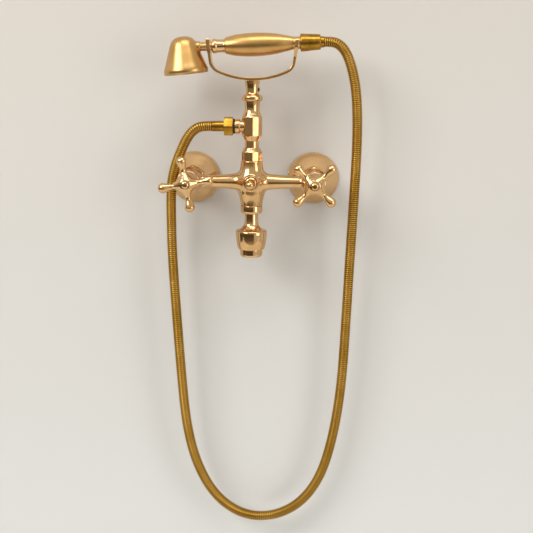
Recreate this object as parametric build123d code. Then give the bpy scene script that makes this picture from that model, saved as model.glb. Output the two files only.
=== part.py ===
from build123d import *
import math
import os

os.makedirs("parts", exist_ok=True)

# Wall mounted bath mixer with a telephone hand shower. Millimetres.
# The origin is midway between the two wall inlets, on the finished wall.
# X runs to the right along the bar, Y runs into the wall, Z is up.

# ---- overall layout
inlet_spacing = 150.0        # centre to centre of the two wall inlets
body_reach = 55.0            # wall to the axis of the bar and the column
body_rise = 1.5              # bar axis above the inlets, from the offset unions
seat_gap = 0.05              # radial gap of screwed and slipped-in pieces
running_gap = 0.05           # radial gap of turning and sliding pieces

# ---- inlet unions and rosettes, along each valve axis from the wall outwards
stud_r = 20.955 / 2          # G1/2 male thread screwed into the wall fitting
stud_depth = 14.0
shoulder_r = 12.5
shoulder_length = 9.0
union_thread_r = 26.44 / 2   # G3/4 male thread
union_length = 29.0
union_bore_r = 6.5
rosette_r = 32.0
rosette_mouth_r = 15.2
rosette_height = 21.5
rosette_wall = 1.6
rosette_lip = 1.4
nut_flats = 30.0
nut_start = 22.0
nut_end = 37.5
nut_lip = 4.0
washer_thickness = 2.0
tail_flange = 2.5
tail_r = 10.2

# ---- mixer body
barrel_r = 14.0
barrel_start = 38.0
barrel_end = 74.0
arm_waist_r = 7.4
arm_root_r = 10.0
arm_waist_x = 52.0
sphere_r = 17.2
neck_r = 13.2
column_top = 26.6            # height where the column nut sits
column_bottom = -27.0        # height where the spout ring sits
bar_bore_r = 4.5
upper_bore_r = 5.5
lower_bore_r = 6.5
diverter_bore_r = 7.5
boss_r = 8.8
boss_end = 73.5              # front face of the diverter boss, from the wall

# ---- ceramic valves
cartridge_r = 9.5            # M19 thread of the valve bonnet
chamber_start = 50.0
seal_thickness = 1.5
disc_thickness = 3.0
disc_r = 8.0
disc_port_r = 2.2
disc_port_offset = 4.4
bonnet_flange_r = 11.2
bonnet_flange = 1.6
bonnet_flats = 17.0
bonnet_end = 80.0
spindle_r = 4.0
spindle_end = 91.0
carrier_thickness = 3.2
face_gap = 0.05

# ---- cross handles
handle_plane = 94.5          # plane of the four arms, from the wall
skirt_start = 75.2
skirt_r = 12.9
flange_recess_r = 11.6
flange_recess_end = 76.4
hex_recess_r = 10.1
hex_recess_end = 81.0
hub_r = 10.4
handle_front = 103.6
arm_reach = 27.0             # hub centre to ball centre
arm_ball_r = 6.1
arm_neck_r = 3.2
left_handle_turn = 10.0
right_handle_turn = 45.0
grub_r = 2.5                 # M5 grub screws
grub_socket_r = 1.25
handle_grub_plane = 87.5

# ---- diverter
gland_end = 77.5
gland_collar_r = 7.0
gland_start = 65.0
diverter_stem_r = 2.5
piston_r = 7.3
piston_thickness = 4.0
knob_centre = 97.0
knob_r = 5.0

# ---- column above the body
column_thread_r = 10.2
column_nut_r = 12.5          # across the corners of the octagon
column_nut_top = 38.0
column_nut_cone = 42.4
neck_tube_r = 8.4
block_bottom = 55.9
block_top = 79.2
block_r = 12.4               # across the corners of the octagon
waist_r = 8.9
bead_r = 12.4
bead_bottom = 97.3
bead_top = 104.8
post_r = 7.7
post_top = 121.1
post_bore_r = 4.5
post_bore_start = 100.0
grub_front_height = 117.3
grub_side_height = 111.0
front_grub_turn = 100.0      # the front screw sits a little left of centre
side_grub_turn = 10.0

# ---- hose outlet on the left of the block
outlet_height = 67.5
outlet_thread_r = 16.66 / 2  # G3/8
outlet_undercut_end = 14.4
outlet_ring_r = 9.1
outlet_ring_end = 20.4
outlet_end = 28.6
outlet_bore_r = 4.0
gasket_end = 22.6
hex_nut_end = 33.0
hex_nut_flats = 21.0
hex_nut_turn = 27.0
hose_washer = 1.5
ferrule_flange = 1.6
hex_ferrule_r = 6.2
hex_ferrule_end = 48.0
ferrule_bore_r = 3.6

# ---- spout below the body
ring_r = 13.2
ring_bottom = -37.2
spout_thread_r = 10.1
spout_waist_r = 8.3
spout_waist_height = -47.5
spout_flare_r = 15.2
nozzle_top = -57.0
nozzle_r = 19.0
nozzle_bottom = -80.4
nozzle_bottom_r = 16.1
nozzle_thread_r = 12.0
nozzle_thread_end = -66.0
aerator_r = 13.7
aerator_bottom = -89.6
aerator_thread_top = -72.0
aerator_wall = 1.6

# ---- cradle
strip_thickness = 3.6
strip_half_width = 6.0
strip_bottom = 121.3         # underside of the strip above the post
strip_large_r = 100.0
strip_small_r = 15.0
strip_break = 24.0           # degrees from straight down where the curve tightens
strip_rise = 83.0            # direction of the upright ends, in degrees
tine_top = 169.0
tine_wall = 3.5
tine_flare_start = 152.0
tine_half_thickness = 2.4
stem_rivet_r = 3.0

# ---- hand shower, along its own axis from the head to the hose
handset_height = 162.8       # axis above the origin, over the column
handset_tilt = 2.7           # hose end up, in degrees
handset_neck_r = 5.0
fork_gap = 0.25              # neck and collar to the forks
bead_start = -47.8
bead_end = -41.8
bead_ring_r = 8.6
ferrule_r = 7.8
grip_start = -32.2
grip_end = 46.9
grip_bore_r = 6.4
grip_spigot = 6.5
collar_r = 7.3
collar_end = 55.8
tail_thread_r = 16.66 / 2    # G3/8
tail_end = 66.0
cone_start = 56.2
cone_end = 79.8
cone_large_r = 10.4
cone_small_r = 8.9
cone_ferrule_r = 6.6
cone_ferrule_end = 84.0
water_tube_r = 4.3
water_tube_bore = 3.2
head_x = -77.9               # centre of the rim of the head
head_z = 128.2
head_tilt = 6.2
head_r = 26.3
head_height = 43.5
head_wall = 1.6
rose_r = 23.6
rose_thickness = 2.0
rose_recess = 1.0
rose_seal = 1.4
rose_hole_r = 0.8

# ---- hose: outer diameter and hand-chosen route from the outlet to the hand shower
hose_d = 12.5
hose_first_run = 11.5        # straight out of the ferrule at the outlet
hose_last_run = 11.0         # straight into the ferrule at the hand shower
hose_route = [
    (-68.9, -55.0, 63.6),
    (-77.3, -54.0, 54.0),
    (-84.7, -51.0, 39.3),
    (-93.5, -46.0, 18.2),
    (-99.1, -41.5, -6.4),
    (-99.8, -38.5, -42.0),
    (-99.1, -36.5, -93.0),
    (-94.8, -35.0, -164.0),
    (-89.5, -33.0, -244.0),
    (-83.4, -31.0, -317.0),
    (-70.4, -29.0, -371.5),
    (-47.0, -28.0, -415.0),
    (-12.0, -27.0, -441.5),
    (28.4, -26.5, -444.0),
    (65.4, -26.0, -425.0),
    (91.4, -26.5, -386.5),
    (106.4, -27.5, -330.0),
    (115.3, -29.0, -261.5),
    (118.6, -31.5, -183.0),
    (121.2, -34.5, -105.0),
    (123.8, -38.5, -34.5),
    (125.8, -43.0, 23.5),
    (125.9, -47.5, 67.0),
    (124.2, -50.5, 98.7),
    (121.1, -53.0, 121.0),
    (116.5, -54.5, 138.6),
    (111.2, -55.0, 152.4),
    (104.4, -55.0, 162.0),
]

sides = {"left": -1, "right": 1}
half_spacing = inlet_spacing / 2
column = Location((0, -body_reach, 0))
diverter_axis = Location((0, 0, body_rise), (90, 0, 0))
handset = Location((0, -body_reach, handset_height), (0, 90 - handset_tilt, 0))
head_frame = Location((head_x, -body_reach, head_z), (0, -head_tilt, 0))


# ---- shared shapes
def turned(points):
    """A solid of revolution about Z from the outline (radius, height) points."""
    outline = Polyline(*[(radius, 0, height) for radius, height in points], close=True)
    return revolve(make_face(outline), Axis.Z)


def turned_smooth(curve, low_r=0.0):
    """A solid of revolution about Z whose outer outline is one smooth curve."""
    spline = Spline(*[(radius, 0, height) for radius, height in curve])
    top = spline @ 1
    bottom = spline @ 0
    closing = Polyline(top, (low_r, 0, top.Z), (low_r, 0, bottom.Z), bottom)
    return revolve(make_face(Curve() + [spline, closing]), Axis.Z)


def rod(radius, start, end):
    """A plain cylinder about Z from start to end."""
    return Pos(0, 0, start) * Cylinder(
        radius, end - start, align=(Align.CENTER, Align.CENTER, Align.MIN)
    )


def ring(outer, inner, start, end):
    return rod(outer, start, end) - rod(inner, start - 1, end + 1)


def prism(corner_r, corners, turn, start, end):
    """A regular prism about Z, turned by the given degrees."""
    shape = RegularPolygon(corner_r, corners, rotation=turn)
    return Pos(0, 0, start) * extrude(shape, end - start)


def hexagon(flats, turn, start, end):
    return prism(flats / math.sqrt(3), 6, turn, start, end)


def cross_bore(radius, height, angle, start, end):
    """A cylinder across Z at a height, pointing away from the axis."""
    return Pos(0, 0, height) * Rot(0, 0, angle) * Rot(0, 90, 0) * rod(radius, start, end)


def grub_screw(height, angle, start, end):
    screw = cross_bore(grub_r - seat_gap, height, angle, start, end)
    return screw - cross_bore(grub_socket_r, height, angle, end - 2.0, end + 1)


def valve_axis(side):
    """Along each valve: local Z is the distance from the wall."""
    return Location((side * half_spacing, 0, body_rise), (90, 0, 0))


def save(name, shape):
    shape.label = name
    export_step(shape, f"parts/{name}.step")


# ---- inlet side
def inlet_union(side):
    """Offset union: a stud in the wall, then a larger thread set higher."""
    stud_axis = Location((side * half_spacing, 0, 0), (90, 0, 0))
    lower = rod(stud_r, -stud_depth, 1) + rod(shoulder_r, 0, shoulder_length)
    upper = rod(union_thread_r, shoulder_length, union_length)
    lower_bore = rod(union_bore_r, -stud_depth - 1, shoulder_length + 3)
    upper_bore = rod(union_bore_r, shoulder_length - 3, union_length + 1)
    solid = stud_axis * lower + valve_axis(side) * upper
    return solid - stud_axis * lower_bore - valve_axis(side) * upper_bore


def wall_rosette(side):
    slope = (rosette_r - rosette_mouth_r) / (rosette_height - 1.5)
    inner_top = rosette_height - rosette_lip
    outline = [
        (rosette_r - rosette_wall, 0),
        (rosette_r - 0.4, 0),
        (rosette_r, 0.5),
        (rosette_r - 0.2, 1.5),
        (rosette_mouth_r + 0.8, rosette_height - 0.4),
        (rosette_mouth_r, rosette_height),
        (union_thread_r + seat_gap, rosette_height),
        (union_thread_r + seat_gap, inner_top),
        (rosette_mouth_r - rosette_wall + slope * rosette_lip, inner_top),
    ]
    return valve_axis(side) * turned(outline)


def union_nut(side):
    hex_body = hexagon(nut_flats, 30, nut_start, nut_end)
    crown = turned([
        (0, nut_start),
        (nut_flats / 2 + 0.3, nut_start),
        (nut_flats / 2 + 2.6, nut_start + 1.6),
        (nut_flats / 2 + 2.6, nut_end - 1.6),
        (nut_flats / 2 + 0.3, nut_end),
        (0, nut_end),
    ])
    thread = rod(union_thread_r + seat_gap, nut_start - 1, nut_end - nut_lip)
    hole = rod(tail_r + seat_gap, nut_start, nut_end + 1)
    return valve_axis(side) * ((hex_body & crown) - thread - hole)


def union_washer(side):
    return valve_axis(side) * ring(
        union_thread_r - 0.6, union_bore_r, union_length, union_length + washer_thickness
    )


# ---- mixer body
def trumpet_arm(side):
    """Bar arm along X: wide at the sphere, waisted, flared into the barrel."""
    curve = [
        (arm_root_r + 5.0, 9.0),
        (arm_root_r + 0.6, 17.0),
        (arm_root_r - 0.9, 24.0),
        (arm_waist_r + 0.5, 38.0),
        (arm_waist_r, arm_waist_x),
        (arm_waist_r + 1.6, arm_waist_x + 9.0),
        (barrel_r - 2.0, half_spacing - 7.5),
    ]
    turn = 90 if side > 0 else -90
    return Pos(0, -body_reach, body_rise) * Rot(0, turn, 0) * turned_smooth(curve)


def column_shell():
    """Vertical part of the casting: neck, shoulders and taper to the spout."""
    curve = [
        (neck_r - 0.2, column_bottom),
        (neck_r + 0.9, column_bottom + 7.0),
        (neck_r + 2.6, -13.5),
        (neck_r + 3.6, -6.0),
        (neck_r + 3.4, 8.0),
        (neck_r + 1.3, 15.5),
        (neck_r + 0.2, 21.0),
        (neck_r, column_top),
    ]
    return column * turned_smooth(curve)


def mixer_body():
    tail_start = union_length + washer_thickness
    top_spigot_end = column_top + 6.4
    bottom_spigot_end = column_bottom - 6.0
    solid = column_shell()
    solid += Pos(0, -body_reach, body_rise) * Sphere(sphere_r)
    solid += diverter_axis * rod(boss_r, body_reach, boss_end)
    solid += column * rod(column_thread_r - seat_gap, column_top - 1, top_spigot_end)
    solid += column * rod(spout_thread_r - seat_gap, bottom_spigot_end, column_bottom + 1)
    for side in sides.values():
        solid += trumpet_arm(side)
        barrel = turned([
            (0, barrel_start),
            (barrel_r - 1.2, barrel_start),
            (barrel_r, barrel_start + 1.2),
            (barrel_r, barrel_end - 0.8),
            (barrel_r - 0.8, barrel_end),
            (0, barrel_end),
        ])
        tail = rod(tail_r, tail_start, barrel_start + 1)
        flange = rod(union_thread_r - 0.3, tail_start, tail_start + tail_flange)
        solid += valve_axis(side) * (barrel + tail + flange)
    for side in sides.values():
        solid -= valve_axis(side) * rod(cartridge_r, chamber_start, barrel_end + 1)
        solid -= valve_axis(side) * rod(union_bore_r, tail_start - 1, chamber_start + 1)
    bar_bore = Rot(0, 90, 0) * rod(bar_bore_r, -half_spacing, half_spacing)
    solid -= Pos(0, -body_reach, body_rise) * bar_bore
    solid -= diverter_axis * rod(diverter_bore_r, body_reach - 9, boss_end + 1)
    solid -= column * rod(upper_bore_r, body_rise, top_spigot_end + 1)
    solid -= column * rod(lower_bore_r, bottom_spigot_end - 1, body_rise)
    return solid


# ---- ceramic valve, along the valve axis
seal_end = chamber_start + seal_thickness
fixed_disc_end = seal_end + disc_thickness
moving_disc_start = fixed_disc_end + face_gap
moving_disc_end = moving_disc_start + disc_thickness
carrier_end = moving_disc_end + carrier_thickness
bonnet_body_r = cartridge_r - 0.4


def seat_seal(side):
    return valve_axis(side) * ring(bonnet_body_r, union_bore_r - 0.5, chamber_start, seal_end)


def ported_disc(start, end, turn):
    disc = rod(disc_r, start, end)
    for angle in (turn, turn + 180):
        disc -= Rot(0, 0, angle) * Pos(disc_port_offset, 0, 0) * rod(disc_port_r, start - 1, end + 1)
    return disc


def valve_bonnet(side):
    """Brass cartridge shell with two side windows and a hexagon in front."""
    window_height = 4.0
    window_width = 9.0
    solid = rod(bonnet_body_r, seal_end, barrel_end)
    solid += rod(cartridge_r - seat_gap, carrier_end + 1.5, barrel_end)
    solid += rod(bonnet_flange_r, barrel_end, barrel_end + bonnet_flange)
    solid += hexagon(bonnet_flats, 0, barrel_end + bonnet_flange, bonnet_end)
    solid -= rod(disc_r + seat_gap, seal_end - 1, carrier_end + 0.2)
    solid -= rod(spindle_r + running_gap, seal_end, bonnet_end + 1)
    window = Pos(0, 0, moving_disc_end - window_height / 2) * Box(
        3 * cartridge_r, window_width, window_height
    )
    return valve_axis(side) * (solid - window)


def valve_spindle(side):
    shaft = rod(disc_r - running_gap, moving_disc_end, carrier_end)
    shaft += rod(spindle_r, carrier_end - 1, spindle_end)
    return valve_axis(side) * shaft


# ---- cross handle
def handle_arm(angle):
    """One arm: thick root, thin neck, teardrop ball end."""
    curve = [
        (5.4, 5.0),
        (4.2, 9.5),
        (arm_neck_r + 0.3, 13.0),
        (arm_neck_r, 16.0),
        (arm_neck_r + 0.9, 19.5),
        (arm_ball_r - 0.9, arm_reach - 3.6),
        (arm_ball_r, arm_reach),
        (arm_ball_r - 1.0, arm_reach + 3.6),
        (arm_ball_r - 3.6, arm_reach + 5.6),
        (0.4, arm_reach + 6.2),
    ]
    return Pos(0, 0, handle_plane) * Rot(0, 0, angle) * Rot(0, 90, 0) * turned_smooth(curve)


def cross_handle(side, turn):
    shell = turned_smooth([
        (skirt_r, skirt_start),
        (skirt_r - 0.3, skirt_start + 3.0),
        (hub_r + 1.3, hex_recess_end + 0.6),
        (hub_r + 0.2, handle_plane - 7.0),
        (hub_r + 0.2, handle_plane - 1.0),
        (hub_r - 1.2, handle_plane + 4.0),
        (hub_r - 4.4, handle_front - 2.0),
        (0.4, handle_front),
    ])
    for quarter in range(4):
        shell += handle_arm(turn + 90 * quarter)
    shell -= rod(flange_recess_r, skirt_start - 1, flange_recess_end)
    shell -= rod(hex_recess_r, skirt_start, hex_recess_end)
    shell -= rod(spindle_r + seat_gap, hex_recess_end - 1, spindle_end + 1)
    shell -= cross_bore(grub_r, handle_grub_plane, handle_grub_angle(turn), 0, skirt_r + 1)
    return valve_axis(side) * shell


def handle_grub_angle(turn):
    """The grub screw sits between two arms, as near to the underside as it can."""
    return turn - 90 + 45 if turn < 22.5 else 270


def handle_grub(side, turn):
    angle = handle_grub_angle(turn)
    return valve_axis(side) * grub_screw(handle_grub_plane, angle, spindle_r + seat_gap, hub_r - 0.6)


# ---- diverter on the front of the body
def diverter_gland():
    solid = rod(diverter_bore_r - seat_gap, gland_start, boss_end)
    solid += turned([
        (0, boss_end),
        (gland_collar_r, boss_end),
        (gland_collar_r, gland_end - 1.2),
        (gland_collar_r - 1.6, gland_end),
        (0, gland_end),
    ])
    return diverter_axis * (solid - rod(diverter_stem_r + running_gap, gland_start - 1, gland_end + 1))


def diverter_piston():
    back = body_reach - 6.0
    return diverter_axis * ring(
        piston_r, diverter_stem_r + seat_gap, back, back + piston_thickness
    )


def diverter_stem():
    back = body_reach - 6.0
    stem = rod(diverter_stem_r, back, knob_centre - 1)
    stem += rod(diverter_stem_r + 2.0, back + piston_thickness, back + piston_thickness + 1.5)
    return diverter_axis * stem


def diverter_knob():
    neck_start = knob_centre - 9.5
    knob = Pos(0, 0, knob_centre) * Sphere(knob_r)
    knob += turned([
        (0, neck_start),
        (3.8, neck_start),
        (3.8, neck_start + 1.2),
        (3.2, neck_start + 3.0),
        (3.2, knob_centre),
        (0, knob_centre),
    ])
    return diverter_axis * (knob - rod(diverter_stem_r + seat_gap, neck_start - 1, knob_centre - 1))


# ---- column above the body, about the vertical axis of the body
column_seal_start = column_top + 6.4
column_seal_end = column_seal_start + 1.5
pillar_flange_end = column_seal_end + 1.8


def octagon(corner_r, start, end):
    """An octagon with one corner towards the front and turned chamfers."""
    return prism(corner_r, 8, 90, start, end)


def column_nut():
    chamfer = turned([
        (0, column_top),
        (column_nut_r - 0.7, column_top),
        (column_nut_r, column_top + 0.8),
        (column_nut_r, column_nut_top - 0.9),
        (column_nut_r - 1.5, column_nut_top),
        (neck_tube_r + 1.0, column_nut_cone),
        (0, column_nut_cone),
    ])
    solid = octagon(column_nut_r, column_top, column_nut_top)
    solid += rod(column_nut_r - 1.2, column_nut_top - 1, column_nut_cone)
    solid = solid & chamfer
    solid -= rod(column_thread_r, column_top - 1, pillar_flange_end)
    solid -= rod(neck_tube_r + seat_gap, column_top, column_nut_cone + 1)
    return column * solid


def column_seal():
    return column * ring(
        column_thread_r - 0.4, upper_bore_r, column_seal_start, column_seal_end
    )


def column_pillar():
    """Neck, octagonal outlet block, waist, bead and the post that holds the cradle."""
    block_cut = turned([
        (0, block_bottom - 5.4),
        (neck_tube_r + 0.1, block_bottom - 5.4),
        (block_r - 0.6, block_bottom + 0.6),
        (block_r, block_bottom + 1.6),
        (block_r, block_top - 1.0),
        (block_r - 0.9, block_top),
        (waist_r + 0.9, block_top + 3.8),
        (0, block_top + 3.8),
    ])
    solid = octagon(block_r, block_bottom - 5.4, block_top + 3.8) & block_cut
    solid += rod(column_thread_r - 0.3, column_seal_end, pillar_flange_end)
    solid += rod(neck_tube_r, column_seal_end, block_bottom)
    cove = Spline(
        (waist_r + 1.5, 0, block_top + 2.6),
        (waist_r, 0, block_top + 6.6),
        (waist_r - 0.1, 0, block_top + 11.0),
        (waist_r + 0.9, 0, bead_bottom),
    )
    cove_start = cove @ 0
    closing = Polyline(
        cove @ 1,
        (bead_r - 1.4, 0, bead_bottom),
        (bead_r - 0.2, 0, bead_bottom + 1.6),
        (bead_r, 0, (bead_bottom + bead_top) / 2),
        (bead_r - 0.5, 0, bead_top - 1.6),
        (bead_r - 2.0, 0, bead_top - 0.3),
        (post_r + 1.2, 0, bead_top + 0.4),
        (post_r, 0, bead_top + 1.8),
        (post_r + 0.1, 0, bead_top + 8.0),
        (post_r + 0.7, 0, post_top - 5.0),
        (post_r + 1.5, 0, post_top),
        (0, 0, post_top),
        (0, 0, cove_start.Z),
        cove_start,
    )
    solid += revolve(make_face(Curve() + [cove, closing]), Axis.Z)
    solid -= rod(upper_bore_r, column_seal_end - 1, outlet_height + outlet_bore_r)
    solid -= rod(post_bore_r, post_bore_start, post_top + 1)
    solid -= cross_bore(outlet_thread_r, outlet_height, 180, 5.0, block_r + 1)
    solid -= cross_bore(outlet_bore_r, outlet_height, 180, 0, block_r)
    solid -= cross_bore(grub_r, grub_front_height, -front_grub_turn, 0, block_r)
    solid -= cross_bore(grub_r, grub_side_height, -side_grub_turn, 0, block_r)
    return column * solid


def cradle_grub_screws():
    """Two grub screws that lock the stem of the cradle in the post."""
    start = post_bore_r + seat_gap
    front = grub_screw(grub_front_height, -front_grub_turn, start, post_r + 0.2)
    side = grub_screw(grub_side_height, -side_grub_turn, start, post_r + 0.7)
    return Compound([column * front, column * side])


# ---- hose outlet: local Z points left along the outlet
outlet_axis = Location((0, -body_reach, outlet_height), (0, -90, 0))
hex_washer_end = outlet_end + hose_washer
hex_flange_end = hex_washer_end + ferrule_flange


def outlet_nipple():
    solid = rod(outlet_thread_r - seat_gap, 5.0, outlet_end)
    solid += rod(outlet_ring_r - 0.8, 11.9, outlet_undercut_end)
    solid += turned([
        (0, outlet_undercut_end),
        (outlet_ring_r - 0.5, outlet_undercut_end),
        (outlet_ring_r, outlet_undercut_end + 0.8),
        (outlet_ring_r, outlet_ring_end - 0.8),
        (outlet_ring_r - 0.5, outlet_ring_end),
        (0, outlet_ring_end),
    ])
    return outlet_axis * (solid - rod(outlet_bore_r, 4.0, outlet_end + 1))


def outlet_gasket():
    return outlet_axis * ring(outlet_ring_r - 0.3, outlet_thread_r, outlet_ring_end, gasket_end)


def hose_hex_nut():
    solid = hexagon(hex_nut_flats, hex_nut_turn, gasket_end, hex_nut_end)
    solid &= turned([
        (0, gasket_end),
        (hex_nut_flats / 2 + 0.5, gasket_end),
        (hex_nut_flats / 2 + 1.8, gasket_end + 0.9),
        (hex_nut_flats / 2 + 1.8, hex_nut_end - 0.9),
        (hex_nut_flats / 2 + 0.5, hex_nut_end),
        (0, hex_nut_end),
    ])
    solid -= rod(outlet_thread_r, gasket_end - 1, hex_flange_end)
    solid -= rod(hex_ferrule_r + seat_gap, gasket_end, hex_nut_end + 1)
    return outlet_axis * solid


def hex_nut_washer():
    return outlet_axis * ring(outlet_thread_r - 0.6, outlet_bore_r, outlet_end, hex_washer_end)


def outlet_hose_ferrule():
    solid = rod(outlet_thread_r - 0.4, hex_washer_end, hex_flange_end)
    solid += rod(hex_ferrule_r, hex_washer_end, hex_ferrule_end)
    return outlet_axis * (solid - rod(ferrule_bore_r, hex_washer_end - 1, hex_ferrule_end + 1))


# ---- spout below the body
spout_seal_top = column_bottom - 6.0
spout_seal_bottom = spout_seal_top - 1.4
spout_flange_bottom = spout_seal_bottom - 1.4


def spout_ring():
    solid = turned([
        (0, column_bottom),
        (ring_r - 0.4, column_bottom),
        (ring_r, column_bottom - 0.5),
        (ring_r, ring_bottom + 3.0),
        (ring_r - 0.7, ring_bottom + 1.2),
        (ring_r - 2.4, ring_bottom),
        (0, ring_bottom),
    ])
    solid -= rod(spout_thread_r, spout_flange_bottom, column_bottom + 1)
    return column * (solid - rod(spout_waist_r + seat_gap, ring_bottom - 1, column_bottom))


def spout_seal():
    return column * ring(
        spout_thread_r - 0.4, lower_bore_r, spout_seal_bottom, spout_seal_top
    )


def spout_neck():
    """Waisted neck: flange in the ring above, flare and thread into the nozzle below."""
    curve = [
        (spout_waist_r, ring_bottom),
        (spout_waist_r, spout_waist_height + 3.0),
        (spout_waist_r + 0.2, spout_waist_height - 2.0),
        (spout_waist_r + 2.2, spout_waist_height - 5.5),
        (spout_flare_r - 2.6, nozzle_top + 1.8),
        (spout_flare_r, nozzle_top),
    ]
    solid = turned_smooth(curve[::-1])
    solid += rod(spout_waist_r, ring_bottom - 0.5, spout_seal_bottom)
    solid += rod(spout_thread_r - 0.3, spout_flange_bottom, spout_seal_bottom)
    solid += rod(nozzle_thread_r - seat_gap, nozzle_thread_end, nozzle_top + 0.5)
    return column * (solid - rod(5.6, nozzle_thread_end - 1, spout_seal_bottom + 1))


def spout_nozzle():
    outline = [
        (nozzle_thread_r, nozzle_top),
        (nozzle_r - 1.2, nozzle_top),
        (nozzle_r - 0.3, nozzle_top - 1.0),
        (nozzle_r, nozzle_top - 3.4),
        (nozzle_r - 0.2, nozzle_top - 8.0),
        (nozzle_r - 0.8, nozzle_top - 13.5),
        (nozzle_r - 1.7, nozzle_top - 18.5),
        (nozzle_bottom_r, nozzle_bottom + 0.6),
        (nozzle_bottom_r - 0.6, nozzle_bottom),
        (nozzle_thread_r, nozzle_bottom),
    ]
    return column * turned(outline)


def aerator_housing():
    solid = rod(nozzle_thread_r - seat_gap, nozzle_bottom - 0.5, aerator_thread_top)
    solid += turned([
        (0, nozzle_bottom),
        (aerator_r - 0.3, nozzle_bottom),
        (aerator_r, nozzle_bottom - 0.4),
        (aerator_r - 0.2, aerator_bottom + 2.2),
        (aerator_r - 1.4, aerator_bottom),
        (0, aerator_bottom),
    ])
    solid -= rod(nozzle_thread_r - aerator_wall, aerator_bottom + 1.4, aerator_thread_top + 1)
    return column * (solid - rod(nozzle_thread_r - aerator_wall - 1.2, aerator_bottom - 1, aerator_bottom + 2))


def aerator_insert():
    """Plastic flow straightener: a rim with a grid of square passages."""
    outer = nozzle_thread_r - aerator_wall - seat_gap
    low = aerator_bottom + 1.4
    high = low + 9.0
    solid = rod(outer, low, high) - rod(outer - 1.4, low - 1, high - 2.5)
    bars = ring(outer, outer - 1.4, low, low + 2.0)
    pitch = 3.4
    for step in range(-2, 3):
        bars += Pos(step * pitch, 0, low + 1.0) * Box(0.8, 2 * outer, 2.0)
        bars += Pos(0, step * pitch, low + 1.0) * Box(2 * outer, 0.8, 2.0)
    solid += bars & rod(outer, low - 1, high)
    for step in range(6):
        solid -= Rot(0, 0, 60 * step) * Pos(outer * 0.55, 0, 0) * rod(1.3, low + 5, high + 1)
    return column * solid


def aerator_washer():
    outer = nozzle_thread_r - seat_gap
    low = aerator_thread_top
    return column * ring(outer - 0.4, outer - 4.0, low, low + 1.6)


# ---- cradle
def polar_point(centre_x, centre_z, radius, degrees):
    """Point at an angle measured from straight down towards +X."""
    angle = math.radians(degrees)
    return (centre_x + radius * math.sin(angle), 0, centre_z - radius * math.cos(angle))


def half_strip():
    """Right half of the bent strip, seen from the front, then given its width."""
    half = strip_thickness / 2
    large_z = strip_bottom + half + strip_large_r
    shift = strip_large_r - strip_small_r
    small_x, _, small_z = polar_point(0, large_z, shift, strip_break)
    outer = strip_large_r + half
    inner = strip_large_r - half
    outer_small = strip_small_r + half
    inner_small = strip_small_r - half
    middle = (strip_break + strip_rise) / 2
    lower = ThreePointArc(
        (0, 0, large_z - outer),
        polar_point(0, large_z, outer, strip_break / 2),
        polar_point(0, large_z, outer, strip_break),
    )
    lower_small = ThreePointArc(
        lower @ 1,
        polar_point(small_x, small_z, outer_small, middle),
        polar_point(small_x, small_z, outer_small, strip_rise),
    )
    upper = ThreePointArc(
        (0, 0, large_z - inner),
        polar_point(0, large_z, inner, strip_break / 2),
        polar_point(0, large_z, inner, strip_break),
    )
    upper_small = ThreePointArc(
        upper @ 1,
        polar_point(small_x, small_z, inner_small, middle),
        polar_point(small_x, small_z, inner_small, strip_rise),
    )
    lean = 1 / math.tan(math.radians(strip_rise))
    bend_x, _, bend_z = polar_point(small_x, small_z, strip_small_r, strip_rise)
    flare_x = bend_x + (tine_flare_start - bend_z) * lean
    top_x = bend_x + (tine_top - bend_z) * lean
    end = Polyline(
        lower_small @ 1,
        (flare_x + half, 0, tine_flare_start),
        (flare_x + tine_half_thickness + 1.0, 0, tine_flare_start + 8.0),
        (top_x + tine_half_thickness, 0, tine_top),
        (top_x - tine_half_thickness, 0, tine_top),
        (flare_x - tine_half_thickness + 1.0, 0, tine_flare_start + 8.0),
        (flare_x - half, 0, tine_flare_start),
        upper_small @ 1,
    )
    closing = Line((0, 0, large_z - inner), (0, 0, large_z - outer))
    face = make_face(Curve() + [lower, lower_small, end, upper_small, upper, closing])
    return extrude(face, 15.0, dir=(0, 1, 0), both=True)


def tine_x(height):
    """Distance from the column axis to the middle of an upright end."""
    large_z = strip_bottom + strip_thickness / 2 + strip_large_r
    small_x, _, small_z = polar_point(0, large_z, strip_large_r - strip_small_r, strip_break)
    bend_x, _, bend_z = polar_point(small_x, small_z, strip_small_r, strip_rise)
    return bend_x + (height - bend_z) / math.tan(math.radians(strip_rise))


def fork_outline(seat_z, slot_r):
    """Side view of one half of the cradle: strip below, open fork above."""
    outer = slot_r + tine_wall
    points = [
        (-strip_half_width, strip_bottom - 2),
        (strip_half_width, strip_bottom - 2),
        (strip_half_width, seat_z - 17.0),
        (outer, seat_z - 5.0),
        (outer, tine_top - 1.6),
        (outer - 1.2, tine_top),
        (slot_r + 0.9, tine_top),
        (slot_r, tine_top - 1.6),
        (slot_r, seat_z),
    ]
    mirrored = [(-y, z) for y, z in points[2:][::-1]]
    right = [(0, y, z) for y, z in points]
    left = [(0, y, z) for y, z in mirrored]
    slot = ThreePointArc((0, slot_r, seat_z), (0, 0, seat_z - slot_r), (0, -slot_r, seat_z))
    rest = Polyline(*(left + right[:1]))
    start = Polyline(*right)
    face = make_face(Curve() + [start, slot, rest])
    return extrude(face, 70.0, dir=(1, 0, 0))


def cradle():
    left_x = tine_x(handset_height)
    left_seat = handset_height - left_x * math.tan(math.radians(handset_tilt))
    right_seat = handset_height + left_x * math.tan(math.radians(handset_tilt))
    right_half = half_strip() & fork_outline(right_seat, collar_r + fork_gap)
    left_fork = mirror(fork_outline(left_seat, handset_neck_r + fork_gap), Plane.YZ)
    left_half = mirror(half_strip(), Plane.YZ) & left_fork
    solid = right_half + left_half
    solid -= rod(stem_rivet_r, strip_bottom - 1, strip_bottom + strip_thickness + 2)
    return column * solid


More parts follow.
